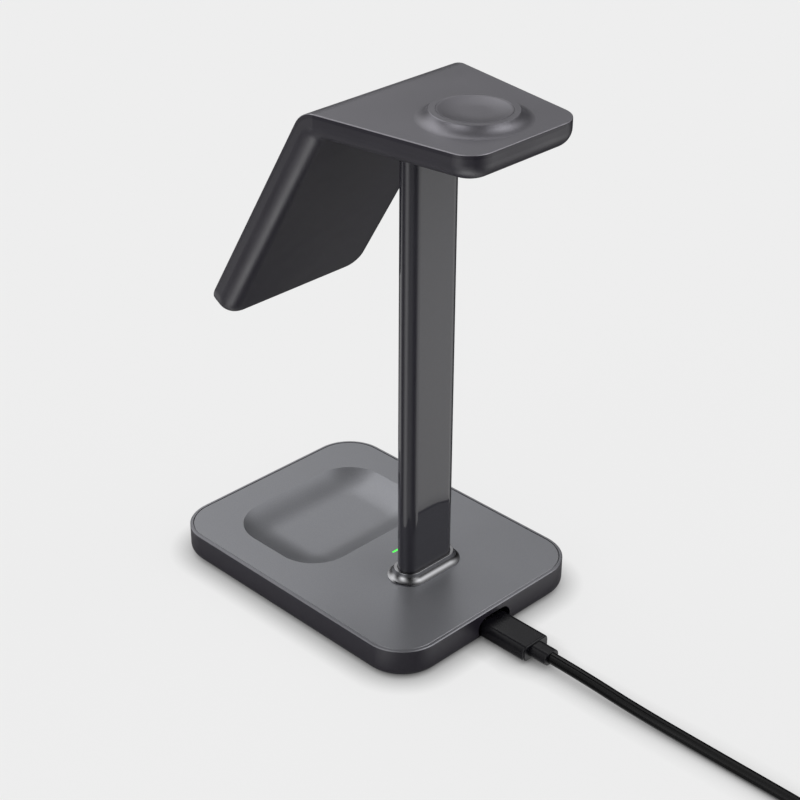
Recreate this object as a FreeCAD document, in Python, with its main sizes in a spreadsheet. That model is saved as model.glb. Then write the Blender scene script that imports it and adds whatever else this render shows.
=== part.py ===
import FreeCAD, Part
import math
import os
from types import SimpleNamespace

import Sketcher
from FreeCAD import Placement, Rotation, Vector

# A desk stand that charges three things at once: earbuds in a shallow tray on its base,
# a phone held to the sloping panel of its head, and a watch on the ring on top.
# The origin is on the desk, under the middle of the base. The phone side faces -Y,
# the power lead leaves at the back, along +Y. All sizes are in millimetres.

SIZES = {
    # Base: a low housing with a sunk lid
    "base_width": 89.0,
    "base_length": 118.0,
    "base_corner": 15.0,
    "base_top": 11.6,
    "desk_gap": 0.8,
    "housing_wall": 2.4,
    "housing_floor": 1.6,
    "bottom_round": 3.0,
    "rim_width": 1.1,
    "rim_chamfer": 0.3,
    "lid_gap": 0.2,
    "lid_thickness": 1.6,
    "lid_chamfer": 0.15,
    "fit": 0.15,
    # Earbud tray, pressed into the lid
    "tray_width": 62.3,
    "tray_length": 46.0,
    "tray_corner": 15.0,
    "tray_back": 21.9,
    "tray_depth": 4.2,
    "tray_lean": 4.2,
    "tray_round": 5.0,
    "tray_skin": 1.2,
    # Foot pad and ballast
    "pad_inset": 5.0,
    "pad_recess": 0.4,
    "weight_thickness": 1.3,
    "weight_inset": 0.5,
    # Lid bosses and their screws
    "boss_in": 6.6,
    "boss_radius": 3.2,
    "boss_height": 1.2,
    "screw_radius": 1.1,
    "head_radius": 2.2,
    "head_height": 1.1,
    "thread_gap": 0.1,
    # Main board and its socket
    "board_thickness": 1.0,
    "board_side": 14.5,
    "board_length": 49.6,
    "board_sunk": 3.4,
    "board_drop": 0.3,
    "post_radius": 2.0,
    "post_in": 3.4,
    "small_screw_radius": 0.8,
    "small_head_radius": 1.6,
    "small_head_height": 0.7,
    "chip_height": 0.7,
    "port_height": 4.15,
    "port_raise": 1.05,
    "port_width": 15.8,
    "port_tall": 8.4,
    "socket_width": 9.2,
    "socket_tall": 3.2,
    "socket_length": 7.4,
    "socket_wall": 0.3,
    "socket_sunk": 1.6,
    "lug_reach": 1.6,
    "lug_length": 3.0,
    "tongue_width": 6.4,
    "tongue_tall": 0.7,
    # Earbud coil
    "earbud_ferrite_radius": 21.5,
    "earbud_ferrite_thickness": 0.8,
    "earbud_coil_radius": 20.0,
    "earbud_coil_bore": 9.0,
    # Status light
    "light_back": 11.5,
    "light_width": 4.0,
    "light_slit": 0.9,
    "light_flange": 1.0,
    # Column, its flared collar and its two brackets
    "column_width": 22.8,
    "column_depth": 8.0,
    "column_back": 25.2,
    "column_wall": 1.2,
    "collar_flare": 4.1,
    "collar_height": 3.6,
    "collar_rim": 0.9,
    "seat_thickness": 0.8,
    "seat_margin": 8.2,
    "flange_thickness": 1.8,
    "flange_margin": 7.2,
    "flange_corner": 4.0,
    "spigot_length": 14.0,
    "channel_width": 10.0,
    "channel_depth": 2.6,
    "bracket_screw_x": 14.4,
    "bracket_screw_y": 7.0,
    "ribbon_width": 7.0,
    "ribbon_thickness": 0.8,
    "ribbon_back": 41.0,
    # Head: one bent slab, watch plate on top and phone panel at the front
    "stand_height": 186.4,
    "head_width": 65.7,
    "head_back_width": 47.6,
    "head_back": 65.9,
    "fold_back": 2.9,
    "fold_radius": 10.5,
    "inner_fold_radius": 3.0,
    "panel_angle": 59.06,
    "panel_length": 97.9,
    "slab": 9.0,
    "cover_thickness": 1.4,
    "cover_round": 0.35,
    "head_wall": 1.8,
    "fold_web": 1.6,
    "head_corner": 9.0,
    "panel_corner": 9.0,
    "under_round": 5.6,
    # Watch ring and the puck in it
    "watch_back": 43.8,
    "watch_rise": 2.9,
    "ring_radius": 14.0,
    "skirt_radius": 18.2,
    "puck_radius": 11.6,
    "puck_wall": 1.2,
    "puck_flange": 0.9,
    "puck_flange_reach": 3.0,
    "puck_chamfer": 0.15,
    "dish_radius": 11.3,
    "dish_depth": 1.2,
    "watch_coil_thickness": 2.0,
    "watch_coil_bore": 5.6,
    "watch_magnet_radius": 4.8,
    # Phone pad, coil and ring of magnets, stacked behind the panel's cover
    "phone_down": 52.0,
    "grip_radius": 29.0,
    "grip_sunk": 0.6,
    "grip_proud": 0.4,
    "grip_chamfer": 0.3,
    "magnet_outer": 27.5,
    "magnet_inner": 23.5,
    "magnet_thickness": 2.0,
    "magnet_gap": 0.7,
    "phone_coil_radius": 21.5,
    "phone_coil_bore": 9.0,
    "phone_coil_thickness": 1.6,
    "phone_ferrite_radius": 22.5,
    "phone_ferrite_thickness": 0.8,
    "phone_board_width": 44.0,
    "phone_board_length": 34.0,
    # Board under the watch, and the flat lead from it round the fold to the phone board
    "watch_board_width": 34.0,
    "watch_board_length": 25.0,
    "watch_board_back": 49.0,
    "watch_board_rise": 3.0,
    "lead_side": 8.5,
    "lead_width": 5.0,
    "lead_thickness": 0.8,
    "lead_radius": 4.0,
    "lead_reach": 40.0,
    "lead_clear": 0.7,
    "lead_passage": 12.0,
    # Power lead: two like plugs on one round cord
    "plug_width": 12.35,
    "plug_tall": 6.1,
    "plug_round": 2.2,
    "plug_length": 20.2,
    "plug_end_round": 0.7,
    "plug_sunk": 1.2,
    "tip_width": 8.25,
    "tip_tall": 2.4,
    "tip_length": 6.4,
    "tip_slot_width": 6.8,
    "tip_slot_tall": 1.0,
    "tip_slot_depth": 5.6,
    "relief_width": 7.0,
    "relief_tall": 4.8,
    "relief_length": 7.0,
    "relief_round": 0.3,
    "cord_diameter": 4.1,
    "cord_level": 13.0,
    "cord_fall": 36.0,
    "cord_land": 63.0,
    "cord_turn": 91.0,
    # The rest of the lead, wound up behind the stand
    "coil_back": 211.0,
    "coil_side": 28.15,
    "coil_radius": 31.4,
    "coil_bore": 14.6,
    "coil_height": 8.3,
    "far_plug_side": 1.3,
    "far_plug_back": 287.2,
}
MAGNETS = 16
CUT_SHARE = 2 - math.sqrt(2)


class Size:
    """A length that carries its cell formula, so one sum gives the number and the binding."""

    def __init__(self, value, text):
        self.value = value
        self.text = text

    def __float__(self):
        return float(self.value)

    def __add__(self, other):
        return Size(float(self) + float(other), f"({self.text} + {text_of(other)})")

    def __sub__(self, other):
        return Size(float(self) - float(other), f"({self.text} - {text_of(other)})")

    def __mul__(self, other):
        return Size(float(self) * float(other), f"({self.text} * {text_of(other)})")

    __rmul__ = __mul__

    def __truediv__(self, other):
        return Size(float(self) / float(other), f"({self.text} / {text_of(other)})")

    def __neg__(self):
        return Size(-float(self), f"(0 - {self.text})")


def text_of(length):
    """The formula of a size, or a plain number as it is."""
    return length.text if isinstance(length, Size) else repr(float(length))


def tan_half(angle):
    """The tangent of half an angle in degrees."""
    return Size(math.tan(math.radians(float(angle)) / 2), f"tan({angle.text} * 1deg / 2)")


def sine(angle):
    return Size(math.sin(math.radians(float(angle))), f"sin({angle.text} * 1deg)")


def cosine(angle):
    return Size(math.cos(math.radians(float(angle))), f"cos({angle.text} * 1deg)")


doc = FreeCAD.newDocument("charging_stand")
sheet = doc.addObject("Spreadsheet::Sheet", "sizes")
for row, (alias, number) in enumerate(SIZES.items(), start=1):
    sheet.set(f"A{row}", alias)
    sheet.set(f"B{row}", str(number))
    sheet.setAlias(f"B{row}", alias)
doc.recompute()
S = SimpleNamespace(**{alias: Size(number, f"sizes.{alias}") for alias, number in SIZES.items()})
NODES = []


# Making bodies, sketches and features

def bind(item, prop, length):
    """Sets a property and ties it to the sheet."""
    if isinstance(length, Size):
        item.setExpression(prop, length.text)
    else:
        setattr(item, prop, length)


def new_body(label):
    body = doc.addObject("PartDesign::Body", label)
    body.Label = label
    NODES.append(body)
    return body


def origin_plane(body, role):
    return next(plane for plane in body.Origin.OriginFeatures if plane.Role == role)


def new_sketch(body, x=0.0, y=0.0, z=0.0, role="XY_Plane", tilt=0.0):
    """A sketch on one of the body's own origin planes, moved by x, y, z in that plane's axes."""
    sketch = body.newObject("Sketcher::SketchObject", f"{body.Label}_sketch")
    sketch.AttachmentSupport = (origin_plane(body, role), [""])
    sketch.MapMode = "FlatFace"
    turn = Rotation(Vector(1, 0, 0), float(tilt))
    sketch.AttachmentOffset = Placement(Vector(float(x), float(y), float(z)), turn)
    for axis, length in zip("xyz", (x, y, z)):
        if isinstance(length, Size):
            sketch.setExpression(f".AttachmentOffset.Base.{axis}", length.text)
    if isinstance(tilt, Size):
        sketch.setExpression(".AttachmentOffset.Rotation.Angle", tilt.text)
    return sketch


def constrain(sketch, *terms):
    return sketch.addConstraint(Sketcher.Constraint(*terms))


def dimension(sketch, name, length, *terms):
    """A named measure of a sketch, tied to the sheet."""
    index = constrain(sketch, *terms, float(length))
    sketch.renameConstraint(index, name)
    if isinstance(length, Size):
        sketch.setExpression(f"Constraints.{name}", length.text)


def rounded_rectangle(sketch, width, length, corner):
    """A rectangle about the sketch's origin with four equal round corners."""
    reach_x = float(width) / 2 - float(corner)
    reach_y = float(length) / 2 - float(corner)
    arcs = []
    for quarter, (side_x, side_y) in enumerate(((-1, -1), (1, -1), (1, 1), (-1, 1))):
        circle = Part.Circle(Vector(side_x * reach_x, side_y * reach_y, 0), Vector(0, 0, 1), float(corner))
        start = math.pi + quarter * math.pi / 2
        arcs.append(sketch.addGeometry(Part.ArcOfCircle(circle, start, start + math.pi / 2)))
    lines = []
    for here, there in zip(arcs, arcs[1:] + arcs[:1]):
        line = Part.LineSegment(sketch.getPoint(here, 2), sketch.getPoint(there, 1))
        lines.append(sketch.addGeometry(line))
        constrain(sketch, "Tangent", here, 2, lines[-1], 1)
        constrain(sketch, "Tangent", lines[-1], 2, there, 1)
    for line, way in zip(lines, ("Horizontal", "Vertical", "Horizontal", "Vertical")):
        constrain(sketch, way, line)
    for arc in arcs[1:]:
        constrain(sketch, "Equal", arcs[0], arc)
    constrain(sketch, "Symmetric", arcs[0], 3, arcs[2], 3, -1, 1)
    dimension(sketch, "corner", corner, "Radius", arcs[0])
    dimension(sketch, "width", width, "DistanceX", lines[3], 1, lines[1], 1)
    dimension(sketch, "length", length, "DistanceY", lines[0], 1, lines[2], 1)


def slot(sketch, width, depth):
    """A long hole's outline about the sketch's origin: two straight sides and two half-round ends."""
    radius = float(depth) / 2
    reach = float(width) / 2 - radius
    ends = []
    for side, start in ((1, -90), (-1, 90)):
        circle = Part.Circle(Vector(side * reach, 0, 0), Vector(0, 0, 1), radius)
        arc = Part.ArcOfCircle(circle, math.radians(start), math.radians(start + 180))
        ends.append(sketch.addGeometry(arc))
    sides = []
    for here, there in ((ends[0], ends[1]), (ends[1], ends[0])):
        line = Part.LineSegment(sketch.getPoint(here, 2), sketch.getPoint(there, 1))
        sides.append(sketch.addGeometry(line))
        constrain(sketch, "Tangent", here, 2, sides[-1], 1)
        constrain(sketch, "Tangent", sides[-1], 2, there, 1)
    constrain(sketch, "Horizontal", sides[0])
    constrain(sketch, "Equal", ends[0], ends[1])
    constrain(sketch, "Symmetric", ends[0], 3, ends[1], 3, -1, 1)
    dimension(sketch, "depth", depth, "DistanceY", sides[1], 1, sides[0], 1)
    dimension(sketch, "spread", width - depth, "DistanceX", ends[1], 3, ends[0], 3)


def pin(sketch, name, edge, end, spot):
    """Holds one end of an edge at its place from the sketch's origin."""
    for way, axis, length in (("DistanceX", -2, spot[0]), ("DistanceY", -1, spot[1])):
        if near(length, 0.0):
            constrain(sketch, "PointOnObject", edge, end, axis)
        elif float(length) > 0:
            dimension(sketch, f"{name}_{way[-1]}", length, way, -1, 1, edge, end)
        else:
            dimension(sketch, f"{name}_{way[-1]}", -length, way, edge, end, -1, 1)


def arc_between(centre, here, there):
    """The shorter arc about a centre, with the numbers of its ends at here and at there."""
    spoke, other = here - centre, there - centre
    start, stop = math.atan2(spoke.y, spoke.x), math.atan2(other.y, other.x)
    forwards = (stop - start) % (2 * math.pi) < math.pi
    first, last = (start, stop) if forwards else (stop, start)
    circle = Part.Circle(centre, Vector(0, 0, 1), spoke.Length)
    return Part.ArcOfCircle(circle, first, last), ((1, 2) if forwards else (2, 1))


def outline(sketch, spots, bends=None):
    """A closed outline with every corner pinned. Each side named in bends is an arc about its centre."""
    corners = [Vector(float(x), float(y), 0) for x, y in spots]
    sides, ends = [], []
    for number, (here, there) in enumerate(zip(corners, corners[1:] + corners[:1])):
        if bends and number in bends:
            x, y, radius = bends[number]
            side, order = arc_between(Vector(float(x), float(y), 0), here, there)
        else:
            side, order = Part.LineSegment(here, there), (1, 2)
        sides.append(sketch.addGeometry(side))
        ends.append(order)
    for number, (side, order, spot) in enumerate(zip(sides, ends, spots)):
        constrain(sketch, "Coincident", sides[number - 1], ends[number - 1][1], side, order[0])
        pin(sketch, f"corner{number}", side, order[0], spot)
    for number, (x, y, radius) in (bends or {}).items():
        dimension(sketch, f"bend{number}", radius, "Radius", sides[number])


def circle_at_origin(sketch, radius, name="radius"):
    ring = sketch.addGeometry(Part.Circle(Vector(0, 0, 0), Vector(0, 0, 1), float(radius)))
    constrain(sketch, "Coincident", ring, 3, -1, 1)
    dimension(sketch, name, radius, "Radius", ring)


def four_circles(sketch, radius, reach_x, reach_y):
    """Four like circles, one in each quarter, at the same reach from both axes."""
    rings = []
    for side_x, side_y in ((1, 1), (-1, 1), (-1, -1), (1, -1)):
        centre = Vector(side_x * float(reach_x), side_y * float(reach_y), 0)
        rings.append(sketch.addGeometry(Part.Circle(centre, Vector(0, 0, 1), float(radius))))
    for ring in rings[1:]:
        constrain(sketch, "Equal", rings[0], ring)
    constrain(sketch, "Symmetric", rings[0], 3, rings[1], 3, -2)
    constrain(sketch, "Symmetric", rings[1], 3, rings[2], 3, -1)
    constrain(sketch, "Symmetric", rings[2], 3, rings[3], 3, -2)
    dimension(sketch, "radius", radius, "Radius", rings[0])
    dimension(sketch, "reach_x", reach_x, "DistanceX", -1, 1, rings[0], 3)
    dimension(sketch, "reach_y", reach_y, "DistanceY", -1, 1, rings[0], 3)


def pad(sketch, length, down=False, both_ways=False):
    """Adds material on the sketch, towards its normal unless down is set."""
    feature = body_of(sketch).newObject("PartDesign::Pad", "pad")
    feature.Profile = sketch
    feature.Reversed = down
    feature.Midplane = both_ways
    bind(feature, "Length", length)
    return settle(feature)


def pocket(sketch, length, up=False, both_ways=False):
    """Cuts from the sketch against its normal, or along it when up is set."""
    body = body_of(sketch)
    before = body.Shape.Volume
    feature = body.newObject("PartDesign::Pocket", "pocket")
    feature.Profile = sketch
    feature.Reversed = up
    feature.Midplane = both_ways
    bind(feature, "Length", length)
    settle(feature)
    if body.Shape.Volume > before - 1e-6:
        raise ValueError(f"{body.Label}: {feature.Label} cuts nothing")
    return feature


def loft(kind, lower, upper):
    """Joins two outlines on parallel planes, adding or cutting."""
    feature = body_of(lower).newObject(f"PartDesign::{kind}Loft", "loft")
    feature.Profile = lower
    feature.Sections = [upper]
    feature.Ruled = True
    return settle(feature)


def spin(kind, sketch):
    """Turns an outline once round the sketch's upright axis, adding or cutting."""
    feature = body_of(sketch).newObject(f"PartDesign::{kind}", kind.lower())
    feature.Profile = sketch
    feature.ReferenceAxis = (sketch, ["V_Axis"])
    feature.Angle = 360.0
    return settle(feature)


def body_of(feature):
    return feature.getParentGeoFeatureGroup()


def settle(feature):
    body = body_of(feature)
    body.Tip = feature
    doc.recompute()
    if not feature.isValid():
        raise ValueError(f"{body.Label}: {feature.Label}: {feature.getStatusString()}")
    return feature


def edges_where(feature, test):
    """Names of the feature's edges whose middle point and direction pass the test."""
    names = []
    for index, edge in enumerate(feature.Shape.Edges, start=1):
        middle = (edge.FirstParameter + edge.LastParameter) / 2
        if not edge.Degenerated and test(edge.valueAt(middle), edge.tangentAt(middle)):
            names.append(f"Edge{index}")
    return names


def dress(kind, feature, size, test):
    """Rounds or chamfers the edges of the feature that pass the test."""
    names = edges_where(feature, test)
    if not names:
        raise ValueError(f"{body_of(feature).Label}: no edge to dress")
    dressed = body_of(feature).newObject(f"PartDesign::{kind}", kind.lower())
    dressed.Base = (feature, names)
    bind(dressed, "Radius" if kind == "Fillet" else "Size", size)
    return settle(dressed)


def near(a, b):
    return abs(float(a) - float(b)) < 1e-4


def mirrored(feature, role="YZ_Plane"):
    body = body_of(feature)
    copy = body.newObject("PartDesign::Mirrored", "mirrored")
    copy.Originals = [feature]
    copy.MirrorPlane = (origin_plane(body, role), [""])
    return settle(copy)


def round_about(feature, sketch, count):
    """Repeats a feature evenly round the normal of its sketch."""
    pattern = body_of(feature).newObject("PartDesign::PolarPattern", "round_about")
    pattern.Originals = [feature]
    pattern.Axis = (sketch, ["N_Axis"])
    pattern.Angle = 360.0
    pattern.Occurrences = count
    return settle(pattern)


def place(item, x=0.0, y=0.0, z=0.0, axis=(0, 0, 1), angle=0.0):
    """Moves and turns a finished piece to where it sits."""
    item.Placement = Placement(Vector(float(x), float(y), float(z)), Rotation(Vector(*axis), float(angle)))
    for name, length in zip("xyz", (x, y, z)):
        if isinstance(length, Size):
            item.setExpression(f".Placement.Base.{name}", length.text)
    if isinstance(angle, Size):
        item.setExpression(".Placement.Rotation.Angle", angle.text)


def plate(label, width, length, corner, bottom, thickness, x=0.0, y=0.0):
    """A flat piece with round corners, standing on the height given as bottom."""
    body = new_body(label)
    sketch = new_sketch(body, x, y, bottom)
    rounded_rectangle(sketch, width, length, corner)
    return pad(sketch, thickness)


def disc(label, radius, bottom, thickness, y=0.0, bore=None):
    """A round flat piece, with a hole in the middle where a bore is given."""
    body = new_body(label)
    sketch = new_sketch(body, 0.0, y, bottom)
    circle_at_origin(sketch, radius)
    if bore is not None:
        circle_at_origin(sketch, bore, "bore")
    return pad(sketch, thickness)


def screws(label, reach_x, reach_y, y, head_bottom, shank_end, radius, head, head_height, upwards):
    """Four like screws. Their heads lie below the shanks where upwards is set, else above."""
    body = new_body(label)
    heads = new_sketch(body, 0.0, y, head_bottom)
    four_circles(heads, head, reach_x, reach_y)
    pad(heads, head_height)
    top = head_bottom + head_height
    shanks = new_sketch(body, 0.0, y, top if upwards else head_bottom)
    four_circles(shanks, radius, reach_x, reach_y)
    if upwards:
        pad(shanks, shank_end - top)
    else:
        pad(shanks, head_bottom - shank_end, down=True)
    return body


def four_holes(feature, radius, reach_x, reach_y, y, start, depth, up=False):
    sketch = new_sketch(body_of(feature), 0.0, y, start)
    four_circles(sketch, radius, reach_x, reach_y)
    return pocket(sketch, depth, up)


def chips(label, width, length, middle, bottom, spots):
    """Parts soldered to a board: a block for each spot's middle and size, all as shares of the board."""
    blocks = []
    for across, along, wide, long in spots:
        block = doc.addObject("Part::Box", f"{label}_block")
        bind(block, "Length", width * wide)
        bind(block, "Width", length * long)
        bind(block, "Height", S.chip_height)
        place(block, width * (across - wide / 2), length * (along - long / 2) + middle, bottom)
        blocks.append(block)
    group = doc.addObject("Part::Compound", label)
    group.Label = label
    group.Links = blocks
    NODES.append(group)
    return group


# Heights in the base, from the desk up

floor_top = S.desk_gap + S.housing_floor
boss_meet = floor_top + S.boss_height
weight_top = floor_top + S.weight_thickness
earbud_ferrite_top = weight_top + S.earbud_ferrite_thickness
board_bottom = S.port_height - S.board_drop
board_top = board_bottom + S.board_thickness
lid_bottom = S.base_top - S.lid_thickness
tray_bottom = S.base_top - S.tray_depth - S.tray_skin
seat_bottom = lid_bottom - S.seat_thickness
foot_bottom = seat_bottom - S.flange_thickness
boss_x = S.base_width / 2 - S.housing_wall - S.boss_in
boss_y = S.base_length / 2 - S.housing_wall - S.boss_in
board_width = S.base_width - S.board_side * 2
board_back = S.base_length / 2 - S.board_sunk
board_middle = board_back - S.board_length / 2
socket_back = S.base_length / 2 - S.socket_sunk
plug_back = S.base_length / 2 - S.plug_sunk
post_x = board_width / 2 - S.post_in
post_y = S.board_length / 2 - S.post_in
pad_recess_top = S.desk_gap + S.pad_recess


# Moulded tray of the base: floor, walls, port, screw bosses and board posts

def make_base_housing():
    body = new_body("base_housing")
    outline = new_sketch(body, z=S.desk_gap)
    rounded_rectangle(outline, S.base_width, S.base_length, S.base_corner)
    block = pad(outline, S.base_top - S.desk_gap)
    rounded = dress("Fillet", block, S.bottom_round, lambda at, way: near(at.z, S.desk_gap))
    dress("Chamfer", rounded, S.rim_chamfer, lambda at, way: near(at.z, S.base_top))
    seat = new_sketch(body, z=S.base_top)
    rim = S.rim_width * 2
    rounded_rectangle(seat, S.base_width - rim, S.base_length - rim, S.base_corner - S.rim_width)
    pocket(seat, S.lid_thickness)
    inside = new_sketch(body, z=lid_bottom)
    walls = S.housing_wall * 2
    rounded_rectangle(inside, S.base_width - walls, S.base_length - walls, S.base_corner - S.housing_wall)
    pocket(inside, lid_bottom - floor_top)
    recess = new_sketch(body, z=S.desk_gap)
    inset = S.pad_inset * 2
    rounded_rectangle(recess, S.base_width - inset, S.base_length - inset, S.base_corner - S.pad_inset)
    pocket(recess, S.pad_recess, up=True)
    port = new_sketch(body, 0.0, S.port_height + S.port_raise, -(S.base_length / 2), "XZ_Plane")
    slot(port, S.port_width, S.port_tall)
    pocket(port, S.housing_wall + S.fit, up=True)
    bosses = new_sketch(body, z=floor_top)
    four_circles(bosses, S.boss_radius, boss_x, boss_y)
    pad(bosses, S.boss_height)
    posts = new_sketch(body, y=board_middle, z=floor_top)
    four_circles(posts, S.post_radius, post_x, post_y)
    raised = pad(posts, board_bottom - floor_top)
    sunk = four_holes(raised, S.head_radius + S.fit, boss_x, boss_y, 0.0, pad_recess_top,
                      S.head_height + S.thread_gap, up=True)
    drilled = four_holes(sunk, S.screw_radius + S.fit, boss_x, boss_y, 0.0, pad_recess_top,
                         S.lid_thickness * 2, up=True)
    four_holes(drilled, S.small_screw_radius + S.thread_gap, post_x, post_y, board_middle, board_bottom,
               board_bottom - floor_top)


# Soft pad that the whole stand rests on, let into the underside of the housing

def make_foot_pad():
    inset = (S.pad_inset + S.fit) * 2
    body_pad = plate("foot_pad", S.base_width - inset, S.base_length - inset,
                     S.base_corner - S.pad_inset - S.fit, 0.0, pad_recess_top)
    dress("Chamfer", body_pad, S.pad_recess, lambda at, way: near(at.z, 0.0))


# Lid of the base, with the earbud tray, the light's slit, the column's opening and four bosses

def make_base_lid():
    body = new_body("base_lid")
    edge = (S.rim_width + S.lid_gap) * 2
    outline = new_sketch(body, z=lid_bottom)
    rounded_rectangle(outline, S.base_width - edge, S.base_length - edge,
                      S.base_corner - S.rim_width - S.lid_gap)
    sheet_pad = pad(outline, S.lid_thickness)
    dress("Chamfer", sheet_pad, S.lid_chamfer, lambda at, way: near(at.z, S.base_top))
    tray_floor_width = S.tray_width - S.tray_lean * 2
    tray_floor_length = S.tray_length - S.tray_lean * 2
    tray_floor_corner = S.tray_corner - S.tray_lean
    skin = S.tray_skin * 2
    top = new_sketch(body, y=-S.tray_back, z=lid_bottom)
    rounded_rectangle(top, S.tray_width + skin, S.tray_length + skin, S.tray_corner + S.tray_skin)
    under = new_sketch(body, y=-S.tray_back, z=tray_bottom)
    rounded_rectangle(under, tray_floor_width + skin, tray_floor_length + skin,
                      tray_floor_corner + S.tray_skin)
    loft("Additive", under, top)
    mouth = new_sketch(body, y=-S.tray_back, z=S.base_top)
    rounded_rectangle(mouth, S.tray_width, S.tray_length, S.tray_corner)
    floor = new_sketch(body, y=-S.tray_back, z=S.base_top - S.tray_depth)
    rounded_rectangle(floor, tray_floor_width, tray_floor_length, tray_floor_corner)
    dished = loft("Subtractive", floor, mouth)
    dress("Fillet", dished, S.tray_round, lambda at, way: near(at.z, S.base_top - S.tray_depth))
    seat = new_sketch(body, y=S.column_back, z=lid_bottom)
    rounded_rectangle(seat, S.column_width + S.seat_margin * 2, S.column_depth + S.seat_margin * 2,
                      S.flange_corner)
    pad(seat, S.seat_thickness, down=True)
    opening = new_sketch(body, y=S.column_back, z=S.base_top)
    slot(opening, S.column_width + S.fit * 2, S.column_depth + S.fit * 2)
    pocket(opening, S.lid_thickness + S.seat_thickness)
    slit = new_sketch(body, y=S.light_back, z=S.base_top)
    slot(slit, S.light_width, S.light_slit)
    pocket(slit, S.lid_thickness)
    bosses = new_sketch(body, z=lid_bottom)
    four_circles(bosses, S.boss_radius, boss_x, boss_y)
    posts = pad(bosses, lid_bottom - boss_meet, down=True)
    threaded = four_holes(posts, S.screw_radius + S.thread_gap, boss_x, boss_y, 0.0, boss_meet,
                          lid_bottom - boss_meet, up=True)
    four_holes(threaded, S.screw_radius + S.thread_gap, S.bracket_screw_x, S.bracket_screw_y,
               S.column_back, seat_bottom, S.lid_thickness, up=True)


# Pressed steel plate on the housing's floor that keeps the tall stand from tipping

def make_ballast():
    inset = (S.housing_wall + S.weight_inset) * 2
    steel = plate("ballast_plate", S.base_width - inset, S.base_length - inset,
                  S.base_corner - S.housing_wall - S.weight_inset, floor_top, S.weight_thickness)
    cleared = four_holes(steel, S.boss_radius + S.weight_inset, boss_x, boss_y, 0.0, weight_top,
                         S.weight_thickness)
    four_holes(cleared, S.post_radius + S.weight_inset, post_x, post_y, board_middle, weight_top,
               S.weight_thickness)
    notch = new_sketch(body_of(steel), y=S.base_length / 2 - S.housing_wall, z=weight_top)
    rounded_rectangle(notch, S.socket_width * 2, S.socket_length * 3, S.flange_corner)
    pocket(notch, S.weight_thickness)


# Earbud coil on its ferrite disc, between the ballast and the tray's floor

def make_earbud_coil():
    disc("earbud_ferrite", S.earbud_ferrite_radius, weight_top, S.earbud_ferrite_thickness, -S.tray_back)
    disc("earbud_coil", S.earbud_coil_radius, earbud_ferrite_top, tray_bottom - earbud_ferrite_top,
         -S.tray_back, S.earbud_coil_bore)


# Main board on its four posts, with the parts soldered to it and the screws that hold it

def make_main_board():
    board = plate("main_board", board_width, S.board_length, S.post_in, board_bottom,
                  S.board_thickness, y=board_middle)
    drilled = four_holes(board, S.small_screw_radius + S.thread_gap, post_x, post_y, board_middle,
                         board_top, S.board_thickness)
    notch = new_sketch(body_of(drilled), y=board_back, z=board_top)
    reach = S.socket_length - (socket_back - board_back) + S.fit
    rounded_rectangle(notch, S.socket_width + S.fit * 2, reach * 2, S.fit)
    pocket(notch, S.board_thickness)
    chips("main_board_parts", board_width, S.board_length, board_middle, board_top,
          ((-0.33, -0.14, 0.12, 0.14), (0.33, -0.18, 0.10, 0.16), (-0.32, 0.23, 0.13, 0.16),
           (0.30, 0.21, 0.10, 0.12), (-0.17, 0.31, 0.05, 0.08), (0.18, 0.33, 0.07, 0.06)))
    screws("main_board_screws", post_x, post_y, board_middle, board_top,
           floor_top + S.small_screw_radius, S.small_screw_radius, S.small_head_radius,
           S.small_head_height, upwards=False)


# Power socket: a drawn metal shell with a tongue in it, let into a notch of the main board

def make_socket():
    body = new_body("socket_shell")
    outer = new_sketch(body, 0.0, S.port_height, -socket_back, "XZ_Plane")
    slot(outer, S.socket_width, S.socket_tall)
    pad(outer, S.socket_length)
    lugs = new_sketch(body, y=board_back - S.lug_length, z=board_top)
    rounded_rectangle(lugs, S.socket_width + S.lug_reach * 2, S.lug_length, S.socket_wall)
    pad(lugs, S.socket_wall)
    mouth = new_sketch(body, 0.0, S.port_height, -socket_back, "XZ_Plane")
    wall = S.socket_wall * 2
    slot(mouth, S.socket_width - wall, S.socket_tall - wall)
    pocket(mouth, S.socket_length - S.socket_wall * 2, up=True)
    tongue = new_body("socket_tongue")
    blade = new_sketch(tongue, 0.0, S.port_height, -(socket_back - S.socket_length + S.socket_wall * 2),
                       "XZ_Plane")
    rounded_rectangle(blade, S.tongue_width, S.tongue_tall, S.thread_gap * 2)
    pad(blade, S.tip_length - S.socket_wall * 4, down=True)


# Status light: a chip on the main board and the clear piece that fills the lid's slit

def make_status_light():
    chip_top = board_top + S.chip_height
    plate("light_chip", S.light_width - S.light_flange, S.light_slit * 2, S.thread_gap, board_top,
          S.chip_height, y=S.light_back)
    pipe = plate("light_pipe", S.light_width + S.light_flange * 2, S.light_slit + S.light_flange * 2,
                 S.light_slit, chip_top, lid_bottom - chip_top, y=S.light_back)
    blade = new_sketch(body_of(pipe), y=S.light_back, z=lid_bottom)
    slot(blade, S.light_width - S.thread_gap, S.light_slit - S.thread_gap)
    pad(blade, S.lid_thickness - S.thread_gap / 2)


# Base screws go up through the housing into the lid; the foot pad covers their heads

def make_base_screws():
    screws("base_screws", boss_x, boss_y, 0.0, pad_recess_top, lid_bottom - S.screw_radius,
           S.screw_radius, S.head_radius, S.head_height, upwards=True)


# Heights in the head

head_top = S.stand_height - S.watch_rise
cover_bottom = head_top - S.cover_thickness
head_bottom = head_top - S.slab
head_floor = head_bottom + S.head_wall


# Column: a drawn oval tube standing on the foot bracket and reaching the head bracket

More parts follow.
